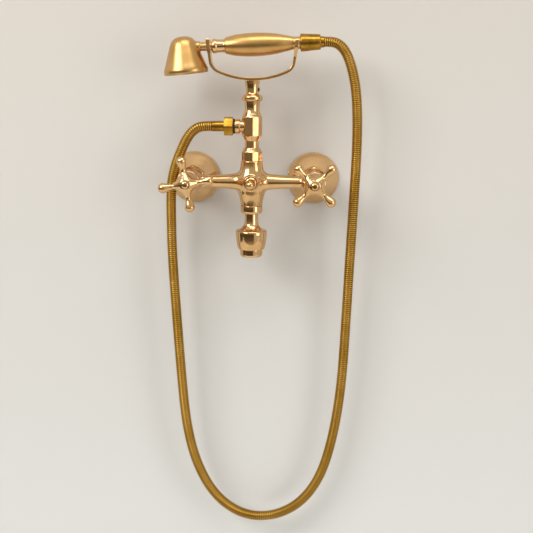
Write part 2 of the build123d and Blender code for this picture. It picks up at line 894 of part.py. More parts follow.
def cradle_stem():
    stem = rod(post_bore_r - seat_gap, post_bore_start + 1.0, strip_bottom)
    stem += rod(stem_rivet_r - seat_gap / 2, strip_bottom - 1, strip_bottom + strip_thickness)
    return column * stem


# ---- hand shower, local Z runs from the head to the hose
cone_washer_end = tail_end + hose_washer
cone_flange_end = cone_washer_end + ferrule_flange


def head_shell():
    """Bell with a rounded top; the rim faces down."""
    flat = 0.45
    outer = turned_smooth([
        (head_r - 0.9, flat),
        (head_r - 0.1, 2.0),
        (head_r - 0.2, 4.5),
        (head_r - 1.5, 8.4),
        (21.5, 17.9),
        (17.4, 29.8),
        (15.0, 36.0),
        (11.6, 40.6),
        (6.0, head_height - 0.7),
        (0.3, head_height),
    ])
    outer += rod(head_r - 1.2, 0, flat + 0.05)
    ledge = rose_recess + rose_thickness
    inner = turned_smooth([
        (rose_r - 1.6, ledge + rose_seal),
        (rose_r - 2.4, 10.0),
        (21.5 - head_wall - 0.3, 17.9),
        (17.4 - head_wall - 0.2, 29.8),
        (12.6, 36.0),
        (7.6, head_height - 3.6),
        (0.3, head_height - 2.4),
    ])
    inner += rod(rose_r - 1.6, 0, ledge + rose_seal + 0.05)
    inner += rod(rose_r + seat_gap, -1, ledge + rose_seal)
    shell = head_frame * (outer - inner)
    socket = handset * rod(handset_neck_r + 1.5, head_x + 8.0, head_x + 16.6)
    socket -= head_frame * inner
    shell += socket
    return shell - handset * rod(handset_neck_r + seat_gap, head_x + 9.0, head_x + 40.0)


def spray_rose():
    disc = rod(rose_r, rose_recess, rose_recess + rose_thickness)
    holes = [(0.0, 1), (7.0, 8), (13.5, 12), (19.5, 16)]
    for radius, count in holes:
        for index in range(count):
            place = Rot(0, 0, 360 * index / count) * Pos(radius, 0, 0)
            disc -= place * rod(rose_hole_r, 0, 2 * rose_thickness + rose_recess)
    return head_frame * disc


def rose_seal_ring():
    low = rose_recess + rose_thickness
    return head_frame * ring(rose_r, rose_r - 1.6, low, low + rose_seal)


def handset_neck():
    return handset * ring(handset_neck_r, water_tube_bore, head_x + 12.0, bead_end + 2.0)


def handset_ferrule():
    solid = turned([
        (0, bead_start),
        (bead_ring_r - 2.0, bead_start),
        (bead_ring_r - 0.5, bead_start + 1.0),
        (bead_ring_r, bead_start + 3.0),
        (bead_ring_r - 0.5, bead_end - 1.0),
        (ferrule_r, bead_end),
        (ferrule_r, grip_start),
        (0, grip_start),
    ])
    solid += rod(grip_bore_r - seat_gap, grip_start - 1, grip_start + grip_spigot)
    solid -= rod(handset_neck_r + seat_gap, bead_start - 1, bead_end + 2.0)
    solid -= rod(water_tube_bore, bead_start, grip_start)
    return handset * (solid - rod(water_tube_r + seat_gap, grip_start - 2.0, grip_start + 10))


def handset_grip():
    curve = [
        (9.2, grip_start),
        (11.4, grip_start + 8.5),
        (13.1, grip_start + 20.0),
        (13.6, grip_start + 31.5),
        (13.4, grip_start + 43.0),
        (12.4, grip_start + 54.5),
        (10.5, grip_start + 66.0),
        (collar_r + 0.3, grip_end),
    ]
    return handset * (turned_smooth(curve) - rod(grip_bore_r, grip_start - 1, grip_end + 1))


def grip_tube():
    return handset * ring(water_tube_r, water_tube_bore, grip_start - 2.0, grip_end - 4.0)


def handset_tail():
    solid = rod(grip_bore_r - seat_gap, grip_end - grip_spigot, grip_end)
    solid += rod(collar_r, grip_end, collar_end)
    solid += rod(tail_thread_r - seat_gap, collar_end, tail_end)
    solid -= rod(water_tube_r + seat_gap, grip_end - grip_spigot - 1, grip_end - 4.0)
    return handset * (solid - rod(water_tube_bore, grip_end - 5.0, tail_end + 1))


def hose_cone_nut():
    solid = turned([
        (0, cone_start),
        (cone_large_r - 0.5, cone_start),
        (cone_large_r, cone_start + 0.8),
        (cone_large_r - 0.1, cone_start + 3.0),
        (cone_small_r, cone_end - 0.9),
        (cone_small_r - 0.6, cone_end),
        (0, cone_end),
    ])
    solid -= rod(tail_thread_r, cone_start - 1, cone_flange_end)
    return handset * (solid - rod(cone_ferrule_r + seat_gap, cone_start, cone_end + 1))


def cone_nut_washer():
    return handset * ring(tail_thread_r - 0.6, water_tube_bore, tail_end, cone_washer_end)


def handset_hose_ferrule():
    solid = rod(tail_thread_r - 0.4, cone_washer_end, cone_flange_end)
    solid += rod(cone_ferrule_r, cone_washer_end, cone_ferrule_end)
    return handset * (solid - rod(ferrule_bore_r, cone_washer_end - 1, cone_ferrule_end + 1))


# ---- hose
def hose_points():
    """The chosen route between the two ferrule faces."""
    start = [outlet_axis * Pos(0, 0, hex_ferrule_end + run) for run in (0, hose_first_run)]
    end = [handset * Pos(0, 0, cone_ferrule_end + run) for run in (hose_last_run, 0)]
    return [tuple(p.position) for p in start] + hose_route + [tuple(p.position) for p in end]


def bend_radii(points):
    """0.45 of the shorter run at each corner, over the tangent of half the turn."""
    radii = []
    for before, corner, after in zip(points, points[1:], points[2:]):
        run_in = Vector(*corner) - Vector(*before)
        run_out = Vector(*after) - Vector(*corner)
        half_turn = math.radians(run_in.get_angle(run_out)) / 2
        radii.append(0.45 * min(run_in.length, run_out.length) / math.tan(half_turn))
    return radii


def hose_tube():
    points = hose_points()
    radii = bend_radii(points)
    path = FilletPolyline(*points, radius=radii)
    profile = Plane(origin=path @ 0, z_dir=path % 0) * Circle(hose_d / 2)
    tube = sweep(profile, path=path)
    section = math.pi * (hose_d / 2) ** 2
    print("hose bend radii", [round(radius) for radius in radii])
    print("hose length", round(path.length, 1))
    print("hose volume over section times length", round(tube.volume / section / path.length, 4))
    return tube


# ---- write every piece
for name, side in sides.items():
    handle_turn = left_handle_turn if side < 0 else right_handle_turn
    save(f"{name}_inlet_union", inlet_union(side))
    save(f"{name}_wall_rosette", wall_rosette(side))
    save(f"{name}_union_nut", union_nut(side))
    save(f"{name}_union_washer", union_washer(side))
    save(f"{name}_seat_seal", seat_seal(side))
    save(f"{name}_fixed_disc", valve_axis(side) * ported_disc(seal_end, fixed_disc_end, 0))
    save(f"{name}_moving_disc", valve_axis(side) * ported_disc(moving_disc_start, moving_disc_end, 90))
    save(f"{name}_valve_bonnet", valve_bonnet(side))
    save(f"{name}_valve_spindle", valve_spindle(side))
    save(f"{name}_handle", cross_handle(side, handle_turn))
    save(f"{name}_handle_grub", handle_grub(side, handle_turn))

save("mixer_body", mixer_body())
save("diverter_gland", diverter_gland())
save("diverter_piston", diverter_piston())
save("diverter_stem", diverter_stem())
save("diverter_knob", diverter_knob())
save("column_nut", column_nut())
save("column_seal", column_seal())
save("column_pillar", column_pillar())
save("cradle_grub_screws", cradle_grub_screws())
save("outlet_nipple", outlet_nipple())
save("outlet_gasket", outlet_gasket())
save("hose_hex_nut", hose_hex_nut())
save("hex_nut_washer", hex_nut_washer())
save("outlet_hose_ferrule", outlet_hose_ferrule())
save("spout_ring", spout_ring())
save("spout_seal", spout_seal())
save("spout_neck", spout_neck())
save("spout_nozzle", spout_nozzle())
save("aerator_housing", aerator_housing())
save("aerator_insert", aerator_insert())
save("aerator_washer", aerator_washer())
save("cradle", cradle())
save("cradle_stem", cradle_stem())
save("head_shell", head_shell())
save("spray_rose", spray_rose())
save("rose_seal", rose_seal_ring())
save("handset_neck", handset_neck())
save("handset_ferrule", handset_ferrule())
save("handset_grip", handset_grip())
save("grip_tube", grip_tube())
save("handset_tail", handset_tail())
save("hose_cone_nut", hose_cone_nut())
save("cone_nut_washer", cone_nut_washer())
save("handset_hose_ferrule", handset_hose_ferrule())
save("hose_tube", hose_tube())
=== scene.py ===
import math

import bmesh
import bpy
import numpy as np
from mathutils import Matrix, Vector


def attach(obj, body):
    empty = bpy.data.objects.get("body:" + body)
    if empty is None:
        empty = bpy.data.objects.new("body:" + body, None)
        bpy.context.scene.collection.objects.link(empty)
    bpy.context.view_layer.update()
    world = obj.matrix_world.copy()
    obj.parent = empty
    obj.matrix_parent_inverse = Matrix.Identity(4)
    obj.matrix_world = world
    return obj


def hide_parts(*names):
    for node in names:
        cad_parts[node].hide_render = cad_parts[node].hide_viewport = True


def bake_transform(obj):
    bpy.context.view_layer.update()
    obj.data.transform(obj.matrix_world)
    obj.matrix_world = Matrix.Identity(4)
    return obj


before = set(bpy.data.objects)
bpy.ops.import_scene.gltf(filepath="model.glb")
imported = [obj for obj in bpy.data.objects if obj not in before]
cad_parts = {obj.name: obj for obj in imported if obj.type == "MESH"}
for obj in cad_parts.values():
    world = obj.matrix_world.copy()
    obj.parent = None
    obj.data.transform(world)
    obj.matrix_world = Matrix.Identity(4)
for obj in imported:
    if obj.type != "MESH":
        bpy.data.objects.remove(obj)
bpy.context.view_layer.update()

MM = 0.001
LONGEST_STRETCH = 0.8
DULLED_EDGE = 0.18
CORNER_LOSS = 0.03

# ---- where things are, in the frame's millimetres
INLET_X = 75.0
REACH = 55.0
BAR_Z = 1.5
HANDLE_PLANE = 94.5
OUTLET_Z = 67.5
HANDSET_Z = 162.8
HANDSET_TILT = math.radians(2.7)
HEAD_X, HEAD_Z = -77.9, 128.2
HEAD_TILT = math.radians(6.2)
SPHERE_R = 17.2
BOSS_END = 73.5
ARM_REACH = 27.0
ARM_BALL_R = 6.1
HANDLE_GRUB_PLANE = 87.5
KNOB_CENTRE = 97.0
KNOB_R = 5.0
BLOCK_CORNERS = 12.4
COLUMN_NUT_CORNERS = 12.5
TINE_WALL = 3.5


def axes(origin, along, first):
    """An origin and three unit directions: first, second and along, right-handed."""
    w = np.array(along, float) / np.linalg.norm(along)
    u = np.array(first, float)
    u = u - w * (u @ w)
    u = u / np.linalg.norm(u)
    return np.array(origin, float), u, np.cross(w, u), w


def valve_axes(side):
    """Along each valve, from the wall outwards."""
    return axes((side * INLET_X, 0, BAR_Z), (0, -1, 0), (1, 0, 0))


COLUMN = axes((0, -REACH, 0), (0, 0, 1), (1, 0, 0))
DIVERTER = axes((0, 0, BAR_Z), (0, -1, 0), (1, 0, 0))
OUTLET = axes((0, -REACH, OUTLET_Z), (-1, 0, 0), (0, 0, 1))
HANDSET = axes((0, -REACH, HANDSET_Z), (math.cos(HANDSET_TILT), 0, math.sin(HANDSET_TILT)), (0, 0, -1))
HEAD = axes((HEAD_X, -REACH, HEAD_Z), (-math.sin(HEAD_TILT), 0, math.cos(HEAD_TILT)), (1, 0, 0))
SIDES = {"left": -1, "right": 1}


# ---- outlines
def spline(points, per=8):
    """Natural cubic spline through the points, by chord length, per steps to each span."""
    p = np.array(points, float)
    t = np.concatenate([[0], np.cumsum(np.linalg.norm(np.diff(p, axis=0), axis=1))])
    h = np.diff(t)
    n = len(p)
    a = np.eye(n)
    b = np.zeros_like(p)
    i = np.arange(1, n - 1)
    a[i, i - 1] = h[:-1]
    a[i, i] = 2 * (h[:-1] + h[1:])
    a[i, i + 1] = h[1:]
    slope = np.diff(p, axis=0) / h[:, None]
    b[1:-1] = 6 * np.diff(slope, axis=0)
    m = np.linalg.solve(a, b)
    x = np.concatenate([np.linspace(t[k], t[k + 1], per, endpoint=False) for k in range(n - 1)] + [t[-1:]])
    k = np.clip(np.searchsorted(t, x, side="right") - 1, 0, n - 2)
    d = (x - t[k])[:, None]
    e = (t[k + 1] - x)[:, None]
    w = h[k][:, None]
    return (
        m[k] * e ** 3 + m[k + 1] * d ** 3
    ) / (6 * w) + (p[k] / w - m[k] * w / 6) * e + (p[k + 1] / w - m[k + 1] * w / 6) * d


def rounded(points, radius=0.4, closed=False):
    """The outline with each corner replaced by a parabola that starts radius before it."""
    p = np.array(points, float)
    before = np.roll(p, 1, axis=0)
    after = np.roll(p, -1, axis=0)
    back = before - p
    on = after - p
    lb = np.linalg.norm(back, axis=1, keepdims=True)
    lo = np.linalg.norm(on, axis=1, keepdims=True)
    r = np.broadcast_to(np.array(radius, float).reshape(-1, 1), (len(p), 1))
    start = p + back / np.maximum(lb, 1e-9) * np.minimum(r, 0.45 * lb)
    end = p + on / np.maximum(lo, 1e-9) * np.minimum(r, 0.45 * lo)
    t = np.linspace(0, 1, 5)[None, :, None]
    arcs = start[:, None] * (1 - t) ** 2 + 2 * p[:, None] * t * (1 - t) + end[:, None] * t ** 2
    if closed:
        return arcs.reshape(-1, 2)
    return np.concatenate([p[:1], arcs[1:-1].reshape(-1, 2), p[-1:]])


def refine(outline):
    """The same outline with no straight stretch longer than LONGEST_STRETCH."""
    p = np.array(outline, float)
    out = [p[:1]]
    for a, b in zip(p, p[1:]):
        n = max(1, int(math.ceil(np.linalg.norm(b - a) / LONGEST_STRETCH)))
        out.append(a + (b - a) * np.linspace(0, 1, n + 1)[1:, None])
    return np.concatenate(out)


# ---- meshes
def add_piece(name, verts, faces, material, body="root", sharp=32.0):
    """A mesh in metres from arrays in millimetres, smooth but for edges over sharp degrees."""
    mesh = bpy.data.meshes.new(name)
    mesh.from_pydata((np.asarray(verts) * MM).tolist(), [], [list(f) for f in faces])
    mesh.validate()
    mesh.update()
    mesh.polygons.foreach_set("use_smooth", np.ones(len(mesh.polygons), bool))
    mesh.set_sharp_from_angle(angle=math.radians(sharp))
    mesh.materials.append(material)
    piece = bpy.data.objects.new(name, mesh)
    bpy.context.scene.collection.objects.link(piece)
    if body:
        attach(piece, body)
    return piece


def grid_faces(rows, cols, wrap_rows=False):
    """Quads of a grid of rows that close on themselves, in reading order."""
    i = np.arange(rows if wrap_rows else rows - 1)[:, None]
    j = np.arange(cols)[None, :]
    up = (i + 1) % rows
    on = (j + 1) % cols
    quad = np.stack([i * cols + j, i * cols + on, up * cols + on, up * cols + j], -1)
    return quad.reshape(-1, 4).tolist()


def place(frame_axes, x, y, z):
    """Local x, y, z along the three directions from the origin."""
    origin, u, v, w = frame_axes
    return origin + x[..., None] * u + y[..., None] * v + z[..., None] * w


def turned(frame_axes, outline, segments=96, limit=None):
    """Solid of revolution: radius and height follow the outline while the angle goes round.

    limit gives, for each angle, the most that the radius may be: flats cut from the turned shape.
    An outline that starts or ends on the axis closes in one point there."""
    p = np.array(outline, float)
    tips = [p[0, 0] < 1e-6, p[-1, 0] < 1e-6]
    rings = p[int(tips[0]):len(p) - int(tips[1])]
    angle = np.linspace(0, 2 * np.pi, segments, endpoint=False)
    radius = np.repeat(rings[:, :1], segments, axis=1)
    if limit is not None:
        flat = limit(angle)[None, :]
        both = radius + flat - np.sqrt((radius - flat) ** 2 + DULLED_EDGE ** 2)
        radius = np.where(radius > flat.min() - 1.0, both / 2 + DULLED_EDGE * 0.35, radius)
    height = np.repeat(rings[:, 1:], segments, axis=1)
    verts = place(frame_axes, radius * np.cos(angle), radius * np.sin(angle), height).reshape(-1, 3)
    faces = grid_faces(len(rings), segments, wrap_rows=not any(tips))
    around = np.arange(segments)
    nxt = (around + 1) % segments
    if tips[0]:
        verts = np.vstack([verts, place(frame_axes, *[np.array([c]) for c in (0.0, 0.0, p[0, 1])])])
        tip = len(verts) - 1
        faces += [[tip, b, a] for a, b in zip(around.tolist(), nxt.tolist())]
    if tips[1]:
        verts = np.vstack([verts, place(frame_axes, *[np.array([c]) for c in (0.0, 0.0, p[-1, 1])])])
        tip = len(verts) - 1
        last = (len(rings) - 1) * segments
        faces += [[tip, last + a, last + b] for a, b in zip(around.tolist(), nxt.tolist())]
    return verts, faces


def flats(corner_radius, sides, turn):
    """Distance from the axis to a regular polygon's side at each angle, corners dulled."""
    part = 2 * np.pi / sides

    def distance(angle):
        off = (angle - turn + part / 2) % part - part / 2
        away = part / 2 - np.abs(off)
        side = corner_radius * math.cos(part / 2) / np.cos(away)
        return np.minimum(side, corner_radius * (1 - CORNER_LOSS))
    return distance


def hexagon(across_flats, turn):
    """Six flats, turned by degrees from the first direction of the axes."""
    return flats(across_flats / math.sqrt(3), 6, math.radians(turn))


def join(parts):
    """Several vertex and face lists as one."""
    verts, faces, first = [], [], 0
    for v, f in parts:
        verts.append(v)
        faces += [[i + first for i in face] for face in f]
        first += len(v)
    return np.concatenate(verts), faces


def round_corners():
    """Signs and angles of the points round a rounded rectangle, corner after corner."""
    steps = 4
    turn = np.linspace(0, np.pi / 2, steps)
    quarter = np.concatenate([turn + k * np.pi / 2 for k in range(4)])
    return np.repeat([1, -1, -1, 1], steps), np.repeat([1, 1, -1, -1], steps), quarter


def swept(points, side_dir, half_a, half_b, corner):
    """A rounded rectangle carried along the points, closed with its own outline at both ends.

    half_a lies across the path in the plane of the path, half_b along side_dir."""
    p = np.array(points, float)
    run = np.gradient(p, axis=0)
    run /= np.linalg.norm(run, axis=1, keepdims=True)
    side = np.broadcast_to(np.array(side_dir, float), p.shape)
    across = np.cross(side, run)
    across /= np.linalg.norm(across, axis=1, keepdims=True)
    a = np.broadcast_to(half_a, (len(p),))[:, None]
    b = np.broadcast_to(half_b, (len(p),))[:, None]
    sx, sy, quarter = round_corners()
    u = sx * (a - corner) + corner * np.cos(quarter)
    v = sy * (b - corner) + corner * np.sin(quarter)
    rings = p[:, None] + u[..., None] * across[:, None] + v[..., None] * side[:, None]
    cols = rings.shape[1]
    verts = rings.reshape(-1, 3)
    faces = [f[::-1] for f in grid_faces(len(p), cols)]
    last = (len(p) - 1) * cols
    faces.append(list(range(cols)))
    faces.append([last + k for k in range(cols)][::-1])
    return verts, faces


def recalculated(piece):
    """Faces turned outwards once the shape is closed."""
    work = bmesh.new()
    work.from_mesh(piece.data)
    bmesh.ops.remove_doubles(work, verts=work.verts, dist=1e-7)
    bmesh.ops.recalc_face_normals(work, faces=work.faces)
    work.to_mesh(piece.data)
    work.free()
    piece.data.update()
    return piece


# ---- cast shapes that run into each other, as one surface where a distance is nothing
def smooth_min(a, b, k):
    """The smaller of two distances, with a fillet about k wide where they are close."""
    h = np.clip(0.5 + 0.5 * (b - a) / k, 0, 1)
    return b + (a - b) * h - k * h * (1 - h)


def smooth_max(a, b, k):
    """The larger of two distances, with the same rounding."""
    return -smooth_min(-a, -b, k)


def local(p, frame_axes):
    """Distance from the axis and distance along it."""
    origin, u, v, w = frame_axes
    d = p - origin
    return np.hypot(d @ u, d @ v), d @ w


def turned_field(p, frame_axes, outline, edge=0.6):
    """Radius minus the outline's radius at that height, over the slope; rounded at the two ends."""
    table = spline([(z, r) for r, z in outline], 12)
    rho, z = local(p, frame_axes)
    slope = np.gradient(table[:, 1], table[:, 0])
    r = np.interp(z, table[:, 0], table[:, 1])
    k = np.clip(np.interp(z, table[:, 0], slope), -3, 3)
    ends = np.maximum(table[0, 0] - z, z - table[-1, 0])
    return smooth_max((rho - r) / np.sqrt(1 + k * k), ends, edge)


def rod_field(p, frame_axes, radius, start, end, edge=0.6):
    """Distance to a cylinder, its rims rounded by about edge."""
    rho, z = local(p, frame_axes)
    return smooth_max(rho - radius, np.maximum(start - z, z - end), edge)


def slope_of(field, p, d=0.02):
    """Direction in which the distance grows, by small steps along X, Y and Z."""
    steps = np.eye(3) * d
    g = np.stack([field(p + s) - field(p - s) for s in steps], -1) / (2 * d)
    return g


def wrapped(name, field, low, high, step, material, body, rounds=3):
    """A skin of quads on the surface where field is zero.

    Each grid cell that the surface crosses holds one corner, each grid edge that it
    crosses one quad. The corners slide together and back on to the surface."""
    sizes = [np.arange(a, b + step, step) for a, b in zip(low, high)]
    shape = [len(s) for s in sizes]
    points = np.stack(np.meshgrid(*sizes, indexing="ij"), -1)
    inside = field(points.reshape(-1, 3)).reshape(shape) < 0
    count = sum(
        inside[a:shape[0] - 1 + a, b:shape[1] - 1 + b, c:shape[2] - 1 + c].astype(int)
        for a in (0, 1) for b in (0, 1) for c in (0, 1)
    )
    crossed = (count > 0) & (count < 8)
    number = np.full(crossed.shape, -1)
    number[crossed] = np.arange(crossed.sum())
    verts = points[:-1, :-1, :-1][crossed] + step / 2
    quads = []
    for k in range(3):
        turned_in = np.moveaxis(inside, [k, (k + 1) % 3, (k + 2) % 3], [0, 1, 2])
        cells = np.moveaxis(number, [k, (k + 1) % 3, (k + 2) % 3], [0, 1, 2])
        a = turned_in[:-1, 1:-1, 1:-1]
        b = turned_in[1:, 1:-1, 1:-1]
        ring = np.stack([cells[:, :-1, :-1], cells[:, 1:, :-1], cells[:, 1:, 1:], cells[:, :-1, 1:]], -1)
        quads.append(ring[a & ~b])
        quads.append(ring[b & ~a][:, ::-1])
    quads = np.concatenate(quads)
    links = np.concatenate([quads[:, [m, (m + 1) % 4]] for m in range(4)])
    for turn in range(rounds + 3):
        if 0 < turn <= rounds:
            total = np.zeros_like(verts)
            number_of = np.zeros(len(verts))
            np.add.at(total, links[:, 0], verts[links[:, 1]])
            np.add.at(number_of, links[:, 0], 1)
            verts = 0.4 * verts + 0.6 * total / number_of[:, None]
        g = slope_of(field, verts)
        move = g * (field(verts) / np.maximum((g * g).sum(-1), 0.05))[:, None]
        far = np.linalg.norm(move, axis=1, keepdims=True)
        verts = verts - move * np.minimum(1, step / np.maximum(far, 1e-9))
    normals = slope_of(field, verts, 0.05)
    normals /= np.maximum(np.linalg.norm(normals, axis=1, keepdims=True), 1e-9)
    piece = add_piece(name, verts, quads.tolist(), material, body, sharp=180)
    if len(piece.data.vertices) == len(normals):
        piece.data.normals_split_custom_set_from_vertices(normals.tolist())
    return piece


# ---- finishes
def linear(code):
    """sRGB hex to linear colour."""
    c = np.array([int(code[i:i + 2], 16) / 255 for i in (1, 3, 5)])
    c = np.where(c <= 0.04045, c / 12.92, ((c + 0.055) / 1.055) ** 2.4)
    return (*c.tolist(), 1.0)


def add_node(tree, kind, inputs=None, **settings):
    """One node with its settings; an input is a value or the socket that feeds it."""
    node = tree.nodes.new(kind)
    for key, value in settings.items():
        setattr(node, key, value)
    for key, value in (inputs or {}).items():
        if isinstance(value, bpy.types.NodeSocket):
            tree.links.new(value, node.inputs[key])
        else:
            node.inputs[key].default_value = value
    return node


def new_material(name):
    """A named material and its empty node tree."""
    material = bpy.data.materials.new(name)
    material.use_nodes = True
    material.node_tree.nodes.clear()
    return material, material.node_tree


def metal(name, light, dark, rough, spread, cloud_mm, grain_mm, ripple_um, grain_um, stretch=(1, 1, 1)):
    """A worked metal: two shades in soft clouds, roughness that follows the polishing, and
    a bump of shallow ripples and fine marks. stretch lengthens the marks along an axis."""
    material, tree = new_material(name)
    place_of = add_node(tree, "ShaderNodeTexCoord")
    lines = add_node(
        tree, "ShaderNodeMapping",
        {"Vector": place_of.outputs["Object"], "Scale": tuple(1 / s for s in stretch)}
    )
    cloud = add_node(
        tree, "ShaderNodeTexNoise",
        {"Vector": place_of.outputs["Object"], "Scale": 1000 / cloud_mm, "Detail": 3.0, "Roughness": 0.6},
    )
    marks = add_node(
        tree, "ShaderNodeTexNoise",
        {"Vector": lines.outputs[0], "Scale": 1000 / grain_mm, "Detail": 4.0, "Roughness": 0.65},
    )
    shade = add_node(tree, "ShaderNodeValToRGB", {"Fac": cloud.outputs["Fac"]})
    shade.color_ramp.elements[0].position = 0.32
    shade.color_ramp.elements[0].color = linear(dark)
    shade.color_ramp.elements[1].position = 0.66
    shade.color_ramp.elements[1].color = linear(light)
    dull = add_node(
        tree, "ShaderNodeMapRange",
        {
            "Value": marks.outputs["Fac"], "From Min": 0.3, "From Max": 0.7, "To Min": rough - spread,
            "To Max": rough + spread,
        },
    )
    ripple = add_node(
        tree, "ShaderNodeBump",
        {"Height": cloud.outputs["Fac"], "Strength": 1.0, "Distance": ripple_um * 1e-6},
    )
    fine = add_node(
        tree, "ShaderNodeBump",
        {
            "Height": marks.outputs["Fac"], "Strength": 1.0, "Distance": grain_um * 1e-6,
            "Normal": ripple.outputs[0],
        },
    )
    shader = add_node(tree, "ShaderNodeBsdfPrincipled", {
        "Base Color": shade.outputs[0], "Metallic": 1.0,
        "Roughness": dull.outputs[0], "Normal": fine.outputs[0],
    })
    add_node(tree, "ShaderNodeOutputMaterial", {"Surface": shader.outputs[0]})
    return material


def dull_solid(name, light, dark, rough, grain_mm, bump_um):
    """Rubber, ceramic or moulded plastic: an even colour with a fine grain."""
    material, tree = new_material(name)
    place_of = add_node(tree, "ShaderNodeTexCoord")
    grain = add_node(
        tree, "ShaderNodeTexNoise",
        {"Vector": place_of.outputs["Object"], "Scale": 1000 / grain_mm, "Detail": 3.0},
    )
    shade = add_node(tree, "ShaderNodeValToRGB", {"Fac": grain.outputs["Fac"]})
    shade.color_ramp.elements[0].color = linear(dark)
    shade.color_ramp.elements[1].color = linear(light)
    bump = add_node(tree, "ShaderNodeBump", {"Height": grain.outputs["Fac"], "Distance": bump_um * 1e-6})
    shader = add_node(
        tree, "ShaderNodeBsdfPrincipled",
        {"Base Color": shade.outputs[0], "Roughness": rough, "Normal": bump.outputs[0]},
    )
    add_node(tree, "ShaderNodeOutputMaterial", {"Surface": shader.outputs[0]})
    return material


# Sand-cast brass, buffed by hand: bright, with a faint ripple that bends its reflections.
buffed_brass = metal("buffed_cast_brass", "#E4BD8A", "#D8AE76", 0.14, 0.03, 16, 1.2, 14, 0.8)
# The same metal turned on a lathe and buffed: rosettes, ring and nozzle, straighter reflections.
turned_brass = metal("buffed_turned_brass", "#E5BF8D", "#DAB07A", 0.11, 0.03, 30, 1.0, 6, 0.6)
# Brass brushed along the hand shower's axis: wide soft highlights.
brushed_brass = metal(
    "brushed_brass_along_x", "#D6AC70", "#C99D5A", 0.30, 0.03, 22, 0.9, 6, 1.0, stretch=(14, 1, 1),
)
# The bell of the hand shower, brushed upright.
bell_brass = metal(
    "brushed_brass_upright", "#D0A76C", "#C49A5B", 0.31, 0.03, 22, 0.9, 6, 0.9, stretch=(1, 1, 10),
)
# Bent strip of the cradle, linished lengthwise.
strip_brass = metal(
    "linished_brass_strip", "#DDB57C", "#CFA468", 0.22, 0.04, 18, 0.8, 6, 1.5, stretch=(8, 1, 1),
)
# Machined fittings left to go dark: olive yellow with brown clouds.
aged_brass = metal("aged_machined_brass", "#BC8F3A", "#946C1F", 0.25, 0.05, 9, 0.8, 5, 1.5)
# Plain machined brass of the inner works.
machined_brass = metal("machined_brass", "#CDA561", "#B98D48", 0.28, 0.05, 12, 0.8, 3, 2.0)
# Grub screws: oiled black steel.
black_steel = metal("black_oxide_steel", "#4A4038", "#2B2521", 0.38, 0.08, 5, 0.5, 3, 4.0)
rubber = dull_solid("black_rubber", "#2A2622", "#1B1816", 0.62, 0.7, 10)
ceramic = dull_solid("lapped_ceramic", "#ECE9E2", "#E2DED5", 0.2, 1.5, 1)
plastic = dull_solid("moulded_acetal", "#E6E4DF", "#DAD8D2", 0.45, 1.2, 4)


def hose_metal():
    """Thin brass strip wound into a hose: the brass colour on the crests, and painted shade that darkens the
    grooves to dark brown.
    """
    material, tree = new_material("wound_brass_strip")
    place_of = add_node(tree, "ShaderNodeTexCoord")
    depth = add_node(tree, "ShaderNodeAttribute", attribute_name="groove")
    cloud = add_node(
        tree, "ShaderNodeTexNoise",
        {"Vector": place_of.outputs["Object"], "Scale": 1000 / 40, "Detail": 3.0},
    )
    grain = add_node(
        tree, "ShaderNodeTexNoise",
        {"Vector": place_of.outputs["Object"], "Scale": 1000 / 0.9, "Detail": 3.0},
    )
    shade = add_node(tree, "ShaderNodeValToRGB", {"Fac": cloud.outputs["Fac"]})
    shade.color_ramp.elements[0].position = 0.3
    shade.color_ramp.elements[0].color = linear("#B3862F")
    shade.color_ramp.elements[1].position = 0.7
    shade.color_ramp.elements[1].color = linear("#D0A24C")
    # painted shade: the groove depth from the mesh mixes the colour towards dark brown in the grooves
    groove = add_node(
        tree, "ShaderNodeMix", {0: depth.outputs["Fac"], 6: shade.outputs[0], 7: linear("#2C1C06")},
        data_type="RGBA",
    )
    colour_with_painted_groove_shade = groove.outputs[2]
    dull = add_node(
        tree, "ShaderNodeMapRange",
        {"Value": grain.outputs["Fac"], "From Min": 0.3, "From Max": 0.7, "To Min": 0.2, "To Max": 0.34},
    )
    bump = add_node(tree, "ShaderNodeBump", {"Height": grain.outputs["Fac"], "Distance": 3e-6})
    shader = add_node(
        tree, "ShaderNodeBsdfPrincipled",
        {"Base Color": colour_with_painted_groove_shade, "Metallic": 1.0, "Roughness": dull.outputs[0], "Normal": bump.outputs[0]},
    )
    add_node(tree, "ShaderNodeOutputMaterial", {"Surface": shader.outputs[0]})
    return material


hose_brass = hose_metal()


def stands_for(piece, slot, *nodes):
    """The piece is seen instead of these CAD nodes; slot is not used."""
    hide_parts(*nodes)
    return piece


def turned_piece(
    node, frame_axes, outline, material, slot, body="root", segments=96, limit=None, round_mm=0.4,
    smooth=False,
):
    """A turned fitting that stands for its CAD node; corners broken by round_mm unless smooth."""
    line = np.array(outline, float) if smooth else rounded(outline, round_mm, closed=True)
    piece = add_piece(node + "_visual", *turned(frame_axes, line, segments, limit), material, body)
    return stands_for(piece, slot, node)


# ---- inlets: rosettes and union nuts
for word, side in SIDES.items():
    valve = valve_axes(side)
    dome = spline([(31.2, 2.9), (27.6, 7.2), (23.4, 12.0), (19.3, 16.7), (15.6, 20.9)], 6)
    rim = rounded([(30.2, 0.0), (32.0, 0.0), (32.0, 2.2), (31.2, 2.9)], 0.7)[1:-1]
    mouth = [(15.2, 21.5), (13.3, 21.5), (13.3, 20.1), (14.6, 20.1)]
    outline = np.concatenate([[(30.2, 0.0)], rim, dome, mouth])
    turned_piece(
        f"{word}_wall_rosette", valve, outline, turned_brass, "satin_brass", segments=128, smooth=True,
    )
    nut = [(10.3, 22.0), (15.4, 22.0), (17.6, 23.6), (17.6, 35.9), (15.4, 37.5), (10.3, 37.5)]
    nut = refine(rounded(nut, 0.3, closed=True))
    turned_piece(
        f"{word}_union_nut", valve, nut, buffed_brass, "polished_brass",
        segments=144, limit=hexagon(30.0, 30.0), smooth=True,
    )


